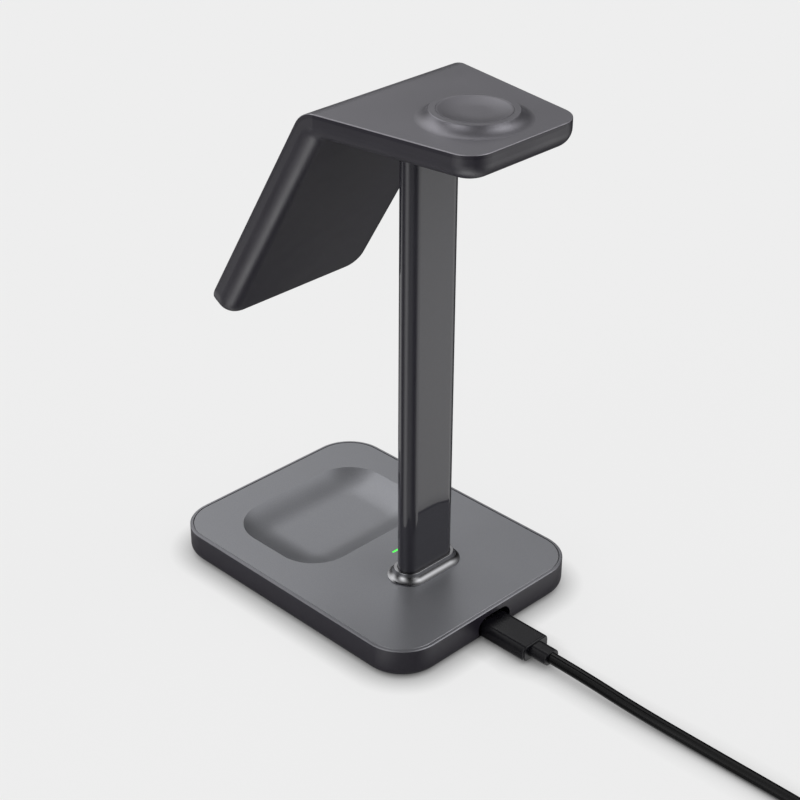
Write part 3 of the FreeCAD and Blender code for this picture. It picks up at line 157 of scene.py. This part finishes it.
surface_grain = make_grain()


def finish(name, colour, spread, roughness, grain, cloud, relief, **sockets):
    """A material of one finish: mean colour, spread of tones, roughness range, grain sizes and relief."""
    material = bpy.data.materials.new(name)
    material.use_nodes = True
    nodes, links = material.node_tree.nodes, material.node_tree.links
    shader = nodes["Principled BSDF"]
    texture = nodes.new("ShaderNodeGroup")
    texture.name = "grain"
    texture.node_tree = surface_grain
    texture.inputs["Grain Scale"].default_value = grain
    texture.inputs["Cloud Scale"].default_value = cloud
    texture.inputs["Dark"].default_value = (*(c * (1 - spread) for c in colour), 1)
    texture.inputs["Light"].default_value = (*(c * (1 + spread) for c in colour), 1)
    texture.inputs["Smooth"].default_value = roughness[0]
    texture.inputs["Rough"].default_value = roughness[1]
    bump = nodes.new("ShaderNodeBump")
    bump.inputs["Strength"].default_value = 1.0
    bump.inputs["Distance"].default_value = relief
    links.new(texture.outputs["Height"], bump.inputs["Height"])
    links.new(texture.outputs["Color"], shader.inputs["Base Color"])
    links.new(texture.outputs["Roughness"], shader.inputs["Roughness"])
    links.new(bump.outputs["Normal"], shader.inputs["Normal"])
    for socket, value in sockets.items():
        shader.inputs[socket.replace("_", " ")].default_value = value
    return material


def coat(material, *names):
    """Gives a finish to CAD pieces that stay as they are."""
    for name in names:
        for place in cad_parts[name].material_slots:
            place.material = material


cord_skin = finish("cord_skin", (0.0016, 0.0016, 0.0020), 0.15, (0.17, 0.23), 1800, 90, 0.000008, IOR=1.38)
lead_curve.materials.append(cord_skin)
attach(cord, "root")
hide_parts("cord_run", "cord_coil", "cord_tail")

# Plug at each end of the lead: a drawn steel tip in a grip moulded from satin black plastic, and the
# sleeve that the cord leaves through. The socket in the base is drawn from the same steel.

plug_plastic = finish("plug_plastic", (0.0058, 0.0055, 0.0078), 0.12, (0.26, 0.34), 2600, 120, 0.000010,
                      IOR=1.37)
coat(plug_plastic, "plug_grip", "plug_sleeve", "far_plug_grip", "far_plug_sleeve")
tip_steel = finish("tip_steel", (0.62, 0.62, 0.63), 0.06, (0.16, 0.26), 900, 60, 0.000003, Metallic=1.0)
coat(tip_steel, "plug_tip", "far_plug_tip", "socket_shell")

# Base housing: a low tray moulded in black satin plastic. Its thin rim stands a hair proud round the
# lid. Its faces that look up at the rim's height are painted a light metallic grey, a painted highlight
# line.

black_plastic = (0.0145, 0.0120, 0.0210)
housing_plastic = finish("housing_plastic", black_plastic, 0.10, (0.36, 0.44), 3200, 60, 0.000008, IOR=1.6)


def make_high_faces():
    """Where a surface lies above a level and looks up, but is no flatter than the given share.

    Flatness is the upward part of the surface's normal: 1 on a level face, 0 on an upright one.
    """
    least_flat = 0.3
    group = bpy.data.node_groups.new("high_faces", "ShaderNodeTree")
    for name in ("Above", "Flattest"):
        group.interface.new_socket(name, in_out="INPUT", socket_type="NodeSocketFloat")
    group.interface.new_socket("Mask", in_out="OUTPUT", socket_type="NodeSocketFloat")
    given = group.nodes.new("NodeGroupInput")
    result = group.nodes.new("NodeGroupOutput")
    upright = []
    for kind, socket in (("ShaderNodeNewGeometry", "Normal"), ("ShaderNodeTexCoord", "Object")):
        parts = group.nodes.new("ShaderNodeSeparateXYZ")
        group.links.new(group.nodes.new(kind).outputs[socket], parts.inputs["Vector"])
        upright.append(parts.outputs["Z"])
    flatness, height = upright
    facing = reckon(group, "MULTIPLY", reckon(group, "GREATER_THAN", flatness, least_flat),
                    reckon(group, "LESS_THAN", flatness, given.outputs["Flattest"]))
    mask = reckon(group, "MULTIPLY", facing, reckon(group, "GREATER_THAN", height, given.outputs["Above"]))
    group.links.new(mask, result.inputs["Mask"])
    return group


high_faces = make_high_faces()


def level_mask(tree, above, flattest):
    """Places the mask of high faces in a material with its own level and flatness."""
    placed = tree.nodes.new("ShaderNodeGroup")
    placed.node_tree = high_faces
    placed.inputs["Above"].default_value = above
    placed.inputs["Flattest"].default_value = flattest
    return placed.outputs["Mask"]


def overlay(tree, name, under, over, mask):
    """Lays one colour over another where the mask is 1. Each is a colour or the output of a node."""
    layer = tree.nodes.new("ShaderNodeMix")
    layer.name = name
    layer.data_type = "RGBA"
    for socket, value in (("A", under), ("B", over), ("Factor", mask)):
        if isinstance(value, tuple):
            layer.inputs[socket].default_value = value
        else:
            tree.links.new(value, layer.inputs[socket])
    return layer.outputs["Result"]


housing_rim_highlight = finish("housing_rim_highlight", black_plastic, 0.10, (0.36, 0.44), 3200, 60, 0.000008, IOR=1.6)
rim_tree = housing_rim_highlight.node_tree
# Painted highlight: a light metallic grey on the rim's upward faces above 11.2 mm.
rim_highlight_mask = level_mask(rim_tree, above=0.0112, flattest=2.0)
rim_highlight_tone = overlay(rim_tree, "painted_rim_highlight", rim_tree.nodes["grain"].outputs["Color"],
                   (0.24, 0.24, 0.26, 1), rim_highlight_mask)
rim_shader = rim_tree.nodes["Principled BSDF"]
rim_tree.links.new(rim_highlight_tone, rim_shader.inputs["Base Color"])
rim_tree.links.new(reckon(rim_tree, "MULTIPLY", rim_highlight_mask, 0.8), rim_shader.inputs["Metallic"])
coat(housing_rim_highlight, "base_housing")

# Foot pad: a thin sheet of soft black rubber, die-cut and glued into a shallow recess under the base.
# Its matt grain keeps the stand from sliding.

pad_rubber = finish("pad_rubber", (0.022, 0.022, 0.023), 0.2, (0.75, 0.9), 1500, 80, 0.00006)
coat(pad_rubber, "foot_pad")

# Base lid: pressed sheet, bead-blasted and anodised dark grey, drawn down into the earbud tray. The
# tray's wall is a soft sweep that runs out into its floor; the rest is the lid as constructed.

lid_metal = finish("lid_metal", (0.272, 0.276, 0.296), 0.09, (0.33, 0.38), 2600, 45, 0.000012, Metallic=0.6)


def soft_hollow(name, node, material, middle, half, corner, depth, sweep, steps=16):
    """Copies a piece and redraws its hollow as a soft sweep that runs out into a flat floor.

    The hollow is a rectangle with round corners: its middle, half size and corner radius are given,
    with its depth and how far the sweep reaches inwards.
    """
    same_place, skin = 0.000002, 0.00004
    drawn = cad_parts[node].data.copy()
    drawn.attributes.remove(drawn.attributes["custom_normal"])
    shape = bmesh.new()
    shape.from_mesh(drawn)
    bmesh.ops.remove_doubles(shape, verts=shape.verts, dist=same_place)
    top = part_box(node)[1].z
    core = half - Vector((corner, corner))

    def inward(place):
        spot = place.xy - middle
        return Vector((min(max(spot.x, -core.x), core.x), min(max(spot.y, -core.y), core.y))) - spot

    sunk = []
    for face in shape.faces:
        place = face.calc_center_median()
        if inward(place).length < corner and face.normal.z > 0.02 and place.z < top - skin:
            sunk.append(face)
    bmesh.ops.delete(shape, geom=sunk, context="FACES")
    rim = [point for point in shape.verts if any(edge.is_boundary for edge in point.link_edges)]
    rim.sort(key=lambda point: math.atan2(point.co.y - middle.y, point.co.x - middle.x))
    ring = rim
    for step in range(1, steps + 1):
        share = step / steps
        lower = []
        for point in rim:
            way = inward(point.co).normalized() * sweep * share
            down = depth * (1 - (1 - share) ** 2)
            lower.append(shape.verts.new(point.co + Vector((way.x, way.y, -down))))
        for index in range(len(rim)):
            after = (index + 1) % len(rim)
            shape.faces.new((ring[index], ring[after], lower[after], lower[index]))
        ring = lower
    shape.faces.new(ring)
    bmesh.ops.recalc_face_normals(shape, faces=shape.faces)
    shape.to_mesh(drawn)
    shape.free()
    drawn.shade_smooth()
    drawn.set_sharp_from_angle(angle=math.radians(20))
    drawn.materials.clear()
    drawn.materials.append(material)
    piece = bpy.data.objects.new(name, drawn)
    bpy.context.scene.collection.objects.link(piece)
    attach(piece, "root")
    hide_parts(node)
    return piece


lid = soft_hollow("lid", "base_lid", lid_metal, middle=Vector((0.0, -0.0219)),
                  half=Vector((0.03115, 0.023)), corner=0.015, depth=0.0042, sweep=0.0135)

# Status light: a clear moulded bar pressed into the lid's slit from below. A chip on the board under
# it lights it green.

clear_bar = finish("clear_bar", (0.03, 0.45, 0.05), 0.1, (0.2, 0.3), 900, 60, 0.000003)
glow = clear_bar.node_tree.nodes["Principled BSDF"]
glow.inputs["Emission Color"].default_value = (0.075, 1.0, 0.085, 1)
glow.inputs["Emission Strength"].default_value = 1.1
coat(clear_bar, "light_pipe", "light_chip")

# Column: a drawn oval tube with a deep black gloss lacquer, polished after it is sprayed. It stands on
# a bracket in the base and carries the head on another.

lacquer = finish("lacquer", (0.033, 0.032, 0.040), 0.03, (0.025, 0.045), 700, 25, 0.0000006, IOR=1.5)
coat(lacquer, "column_tube")

# Collar: a spun trumpet ring that follows the column's oval and covers the slot in the lid. Its
# outline is swept round the column: a flat top, a small rounded edge, a hollow flare and a thin foot.

collar_tree = bpy.data.node_groups.new("collar_sweep", "GeometryNodeTree")
collar_tree.is_modifier = True
collar_sizes = {}
for name, kind in (("Column Width", "Float"), ("Column Depth", "Float"), ("Inner Foot", "Vector"),
                   ("Outer Foot", "Vector"), ("Flare Start", "Vector"), ("Flare Middle", "Vector"),
                   ("Flare End", "Vector"), ("Edge Middle", "Vector"), ("Top Edge", "Vector"),
                   ("Top Inside", "Vector"), ("Place", "Vector"), ("Finish", "Material")):
    socket = collar_tree.interface.new_socket(name, in_out="INPUT", socket_type=f"NodeSocket{kind}")
    collar_sizes[name] = socket.identifier
collar_tree.interface.new_socket("Geometry", in_out="OUTPUT", socket_type="NodeSocketGeometry")


def add_step(kind, links, mode=None, **values):
    """Adds a node to the collar's tree, fed by the given sockets, with its plain values set."""
    node = collar_tree.nodes.new(kind)
    if mode:
        node.mode = mode
    for socket, source in links.items():
        collar_tree.links.new(source, node.inputs[socket])
    for socket, value in values.items():
        node.inputs[socket.replace("_", " ")].default_value = value
    return node


given = add_step("NodeGroupInput", {}).outputs
oval = add_step("GeometryNodeCurvePrimitiveQuadrilateral",
                {"Width": given["Column Width"], "Height": given["Column Depth"]})
half_depth = reckon(collar_tree, "MULTIPLY", given["Column Depth"], 0.4999)
rounded = add_step("GeometryNodeFilletCurve", {"Curve": oval.outputs["Curve"], "Radius": half_depth},
                   "POLY", Count=20)
upright = add_step("GeometryNodeSetCurveNormal", {"Curve": rounded.outputs["Curve"]}, "Z_UP")
walls = add_step("GeometryNodeJoinGeometry", {})
for ends in (("Inner Foot", "Outer Foot"), ("Outer Foot", "Flare Start"),
             ("Flare Start", "Flare Middle", "Flare End"), ("Flare End", "Edge Middle", "Top Edge"),
             ("Top Edge", "Top Inside"), ("Top Inside", "Inner Foot")):
    if len(ends) == 2:
        side = add_step("GeometryNodeCurvePrimitiveLine", {"Start": given[ends[0]], "End": given[ends[1]]})
    else:
        side = add_step("GeometryNodeCurveArc", {"Start": given[ends[0]], "Middle": given[ends[1]],
                                                 "End": given[ends[2]]}, "POINTS", Resolution=14)
    wall = add_step("GeometryNodeCurveToMesh", {"Curve": upright.outputs["Curve"],
                                                "Profile Curve": side.outputs["Curve"]})
    collar_tree.links.new(wall.outputs["Mesh"], walls.inputs["Geometry"])
closed = add_step("GeometryNodeMergeByDistance", {"Geometry": walls.outputs["Geometry"]}, Distance=0.000004)
set_down = add_step("GeometryNodeTransform", {"Geometry": closed.outputs["Geometry"],
                                              "Translation": given["Place"]})
real = add_step("GeometryNodeRealizeInstances", {"Geometry": set_down.outputs["Geometry"]})
painted = add_step("GeometryNodeSetMaterial", {"Geometry": real.outputs["Geometry"],
                                               "Material": given["Finish"]})
add_step("NodeGroupOutput", {"Geometry": painted.outputs["Geometry"]})

collar_metal = finish("collar_metal", (0.30, 0.30, 0.31), 0.03, (0.17, 0.21), 2200, 50, 0.000003,
                      Metallic=1.0)
column_low, column_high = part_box("column_tube")
collar_low, collar_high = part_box("column_collar")

# The outline's points: x runs outwards from the column's wall and y down from the collar's top.
fall = collar_high.z - collar_low.z
flare, foot, rim, gap, edge = 0.0035, 0.00035, 0.00125, 0.00015, 0.00018
arc_middle = math.sin(math.radians(45))
lean = edge * (1 - arc_middle)
collar_values = {
    "Column Width": column_high.x - column_low.x,
    "Column Depth": column_high.y - column_low.y,
    "Inner Foot": (gap, fall, 0),
    "Outer Foot": (flare, fall, 0),
    "Flare Start": (flare, fall - foot, 0),
    "Flare Middle": (flare - (flare - rim) * arc_middle, edge + (fall - foot - edge) * arc_middle, 0),
    "Flare End": (rim, edge, 0),
    "Edge Middle": (rim - lean, lean, 0),
    "Top Edge": (rim - edge, 0, 0),
    "Top Inside": (gap, 0, 0),
    "Place": (0, (column_low.y + column_high.y) / 2, collar_high.z),
    "Finish": collar_metal,
}
collar = bpy.data.objects.new("collar", bpy.data.meshes.new("collar_blank"))
bpy.context.scene.collection.objects.link(collar)
sweep = collar.modifiers.new("sweep", "NODES")
sweep.node_group = collar_tree
for name, value in collar_values.items():
    sweep[collar_sizes[name]] = value
settled = collar.evaluated_get(bpy.context.evaluated_depsgraph_get())
swept = bpy.data.meshes.new_from_object(settled)
collar.modifiers.remove(sweep)
collar.data = swept
shape = bmesh.new()
shape.from_mesh(swept)
bmesh.ops.recalc_face_normals(shape, faces=shape.faces)
shape.to_mesh(swept)
shape.free()
swept.shade_smooth()
swept.set_sharp_from_angle(angle=math.radians(40))
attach(collar, "root")
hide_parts("column_collar")

# Head shell: the underside of the folded slab, moulded in the base's black plastic with generously
# rounded edges. It holds the coils and boards, and the cover is pressed on to it.

coat(housing_plastic, "head_shell")

# Head cover: the lid's blasted sheet, folded once and drawn up into the flare of the watch ring. Its
# edge is painted black like the shell, and the rounding along the plate's edge carries a painted highlight.

ring_middle = Vector((0.0, 0.0438, 0.184))
ring_reach = 0.020
cover_finish = finish("cover_finish", (0.213, 0.208, 0.230), 0.09, (0.32, 0.37), 2600, 45, 0.000012)
cover_tree = cover_finish.node_tree
from_ring = cover_tree.nodes.new("ShaderNodeVectorMath")
from_ring.operation = "DISTANCE"
from_ring.inputs[1].default_value = ring_middle
cover_tree.links.new(cover_tree.nodes.new("ShaderNodeTexCoord").outputs["Object"], from_ring.inputs[0])
away_from_ring = reckon(cover_tree, "GREATER_THAN", from_ring.outputs["Value"], ring_reach)
blasted = reckon(cover_tree, "MAXIMUM", level_mask(cover_tree, above=0.0, flattest=2.0),
                 reckon(cover_tree, "SUBTRACT", 1.0, away_from_ring))
# Painted highlight: a lighter grey on the rounding of the plate's edge, above 183.1 mm and away from the
# ring.
painted_edge_highlight = reckon(cover_tree, "MULTIPLY", level_mask(cover_tree, above=0.1831, flattest=0.95),
                  away_from_ring)
tone = overlay(cover_tree, "painted", (*black_plastic, 1), cover_tree.nodes["grain"].outputs["Color"],
               blasted)
tone = overlay(cover_tree, "painted_edge_highlight", tone, (0.33, 0.32, 0.35, 1), painted_edge_highlight)
cover_shader = cover_tree.nodes["Principled BSDF"]
cover_tree.links.new(tone, cover_shader.inputs["Base Color"])
cover_tree.links.new(reckon(cover_tree, "MULTIPLY", blasted, 0.6), cover_shader.inputs["Metallic"])
coat(cover_finish, "head_cover")

# Watch puck: a low moulded disc in the mouth of the ring, sprayed to match the cover, with a shallow
# dish for the watch's back. Its wall meets the ring without a gap.

puck_plastic = finish("puck_plastic", (0.215, 0.209, 0.232), 0.06, (0.33, 0.38), 2600, 70, 0.000008,
                      Metallic=0.6)
dish_radius, puck_wall, ring_wall, wall_width = 0.0113, 0.01140, 0.01174, 0.00025
puck = soft_hollow("puck", "watch_puck", puck_plastic, middle=ring_middle.xy,
                   half=Vector((dish_radius, dish_radius)), corner=dish_radius, depth=0.0009, sweep=0.0075)
for point in puck.data.vertices:
    outwards = point.co.xy - ring_middle.xy
    if puck_wall < outwards.length < puck_wall + wall_width:
        point.co.xy += outwards.normalized() * (ring_wall - outwards.length)

# Grip pad: a thin disc of matt black rubber, glued to the face of the panel where the phone rests.
# The ring of magnets behind it holds the phone.

grip_rubber = finish("grip_rubber", (0.028, 0.028, 0.029), 0.12, (0.6, 0.7), 2400, 60, 0.00002)
coat(grip_rubber, "grip_pad")

# Works inside the housings, like pieces together: steel plates, brackets and screws, wound coils,
# pressed ferrites, printed boards and their chips, magnets, and the film leads that join them.

hidden = (
    ("zinc_steel", (0.55, 0.55, 0.56), (0.3, 0.45), 1.0,
     ("ballast_plate", "column_foot", "column_head", "foot_screws", "head_screws", "base_screws",
      "main_board_screws", "watch_board_screws", "phone_board_screws")),
    ("enamelled_wire", (0.62, 0.28, 0.12), (0.25, 0.35), 1.0, ("earbud_coil", "watch_coil", "phone_coil")),
    ("pressed_ferrite", (0.055, 0.052, 0.052), (0.6, 0.8), 0.0,
     ("earbud_ferrite", "watch_ferrite", "phone_ferrite")),
    ("solder_mask", (0.008, 0.012, 0.009), (0.25, 0.4), 0.0, ("main_board", "watch_board", "phone_board")),
    ("moulded_chips", (0.03, 0.03, 0.03), (0.4, 0.55), 0.0,
     ("main_board_parts", "watch_board_parts", "phone_board_parts", "socket_tongue")),
    ("nickel", (0.6, 0.59, 0.56), (0.2, 0.3), 1.0, ("phone_magnets", "watch_magnet")),
    ("amber_film", (0.42, 0.2, 0.05), (0.2, 0.35), 0.0, ("column_ribbon", "phone_lead")),
)
for name, colour, roughness, metal, members in hidden:
    coat(finish(name, colour, 0.12, roughness, 1200, 70, 0.00001, Metallic=metal), *members)

# Studio: soft light from all round with brighter and darker quarters, which the glossy parts show.
# Each lobe has an azimuth and elevation in degrees, a sharpness and a brightness. The camera itself
# sees an even pale backdrop.

lobes = ((0, 14, 16, 2.2), (90, 14, 16, 0.84), (290, 14, 16, 1.1), (0, 42, 14, 1.16), (120, 42, 14, 2.2),
         (160, 42, 14, 1.02), (240, 42, 14, 1.26), (280, 42, 14, 1.66), (0, -27, 22, 1.65),
         (45, -27, 22, 0.35), (118, -27, 22, 1.30), (148, -27, 22, 1.40), (290, -27, 22, 1.40),
         (30, -62, 16, 2.2), (194, -52, 16, 0.08), (0, -90, 12, 1.9))
world = bpy.data.worlds.new("studio")
bpy.context.scene.world = world
world.use_nodes = True
sky = world.node_tree
towards = sky.nodes.new("ShaderNodeTexCoord").outputs["Object"]
brightness = 0.0
for azimuth, elevation, sharpness, strength in lobes:
    round_about, upward = math.radians(azimuth), math.radians(elevation)
    facing = sky.nodes.new("ShaderNodeVectorMath")
    facing.operation = "DOT_PRODUCT"
    facing.inputs[1].default_value = (math.cos(upward) * math.cos(round_about),
                                      math.cos(upward) * math.sin(round_about), math.sin(upward))
    sky.links.new(towards, facing.inputs[0])
    near = reckon(sky, "POWER", reckon(sky, "MAXIMUM", facing.outputs["Value"], 0.0), sharpness)
    brightness = reckon(sky, "MULTIPLY_ADD", near, strength, brightness)
behind = sky.nodes.new("ShaderNodeMix")
behind.inputs["B"].default_value = 0.855
sky.links.new(sky.nodes.new("ShaderNodeLightPath").outputs["Is Camera Ray"], behind.inputs["Factor"])
sky.links.new(brightness, behind.inputs["A"])
background = sky.nodes["Background"]
background.inputs["Color"].default_value = (1.0, 1.0, 1.0, 1)
sky.links.new(behind.outputs["Result"], background.inputs["Strength"])
lamp = bpy.data.objects.new("key", bpy.data.lights.new("key", "SUN"))
lamp.data.energy = 0.05
lamp.data.angle = 1.2
lamp.rotation_euler = (0.3, 0.3, 0.0)
bpy.context.scene.collection.objects.link(lamp)
bpy.context.scene.view_settings.view_transform = "Standard"

# Floor: a wide sheet of pale matt paper. It keeps the stand's soft shadow, and a painted shadow darkens
# it in the narrow gap under its edges. Reflections don't see it, because the lobes below the level stand in
# for it.


def matt_paper(name, tone):
    """A plain matt paper of one grey."""
    paper = bpy.data.materials.new(name)
    paper.use_nodes = True
    shader = paper.node_tree.nodes["Principled BSDF"]
    shader.inputs["Base Color"].default_value = (tone, tone, tone, 1)
    shader.inputs["Roughness"].default_value = 0.9
    shader.inputs["Specular IOR Level"].default_value = 0.0
    return paper


bpy.ops.mesh.primitive_plane_add(size=6.0)
floor = bpy.context.object
floor.name = "floor"
floor.visible_glossy = False
floor_paper = matt_paper("floor", 0.88)
paper_tree = floor_paper.node_tree
# Painted contact shadow: the pale glow that the camera sees dims with ambient occlusion under the stand's
# edges.
occlusion = paper_tree.nodes.new("ShaderNodeAmbientOcclusion")
occlusion.inputs["Distance"].default_value = 0.009
pale = paper_tree.nodes.new("ShaderNodeEmission")
paper_tree.links.new(reckon(paper_tree, "MULTIPLY", occlusion.outputs["AO"], 0.89), pale.inputs["Strength"])
rays = paper_tree.nodes.new("ShaderNodeLightPath")
seen = reckon(paper_tree, "MULTIPLY", rays.outputs["Is Camera Ray"], 0.85)
blend = paper_tree.nodes.new("ShaderNodeMixShader")
paper_tree.links.new(seen, blend.inputs["Fac"])
paper_tree.links.new(paper_tree.nodes["Principled BSDF"].outputs["BSDF"], blend.inputs[1])
paper_tree.links.new(pale.outputs["Emission"], blend.inputs[2])
paper_tree.links.new(blend.outputs["Shader"], paper_tree.nodes["Material Output"].inputs["Surface"])
floor.data.materials.append(floor_paper)

# Shadow sheet: a patch of darker paper, a painted shadow round the base, which only reflections see. It
# fades out over a margin round the base, so that the base's sides darken towards the floor.

margin, full_reach, lift = 0.018, 0.002, 0.0002
base_low, base_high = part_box("base_housing")
half_size = (base_high - base_low) / 2
patch = bpy.data.meshes.new("painted_shadow_sheet")
patch.from_pydata([(x * (half_size.x + margin), y * (half_size.y + margin), 0.0)
                   for x, y in ((-1, -1), (1, -1), (1, 1), (-1, 1))], [], [(0, 1, 2, 3)])
painted_shadow_sheet = bpy.data.objects.new("painted_shadow_sheet", patch)
painted_shadow_sheet.location = (0.0, (base_low.y + base_high.y) / 2, lift)
bpy.context.scene.collection.objects.link(painted_shadow_sheet)
for kind in ("camera", "diffuse", "transmission", "volume_scatter", "shadow"):
    setattr(painted_shadow_sheet, f"visible_{kind}", False)
# Painted shadow: paper of tone 0.45, fading to nothing over the margin.
shaded_paper = matt_paper("painted_shadow_sheet", 0.45)
shade_tree = shaded_paper.node_tree
across = shade_tree.nodes.new("ShaderNodeSeparateXYZ")
shade_tree.links.new(shade_tree.nodes.new("ShaderNodeTexCoord").outputs["Object"], across.inputs["Vector"])
squares = []
for axis, half in (("X", half_size.x), ("Y", half_size.y)):
    past_edge = reckon(shade_tree, "SUBTRACT", reckon(shade_tree, "ABSOLUTE", across.outputs[axis]), half)
    beyond = reckon(shade_tree, "MAXIMUM", past_edge, 0.0)
    squares.append(reckon(shade_tree, "MULTIPLY", beyond, beyond))
fading = shade_tree.nodes.new("ShaderNodeMapRange")
fading.interpolation_type = "SMOOTHSTEP"
for socket, value in (("From Min", full_reach), ("From Max", margin), ("To Min", 1.0), ("To Max", 0.0)):
    fading.inputs[socket].default_value = value
shade_tree.links.new(reckon(shade_tree, "SQRT", reckon(shade_tree, "ADD", *squares)), fading.inputs["Value"])
shade_tree.links.new(fading.outputs["Result"], shade_tree.nodes["Principled BSDF"].inputs["Alpha"])
patch.materials.append(shaded_paper)
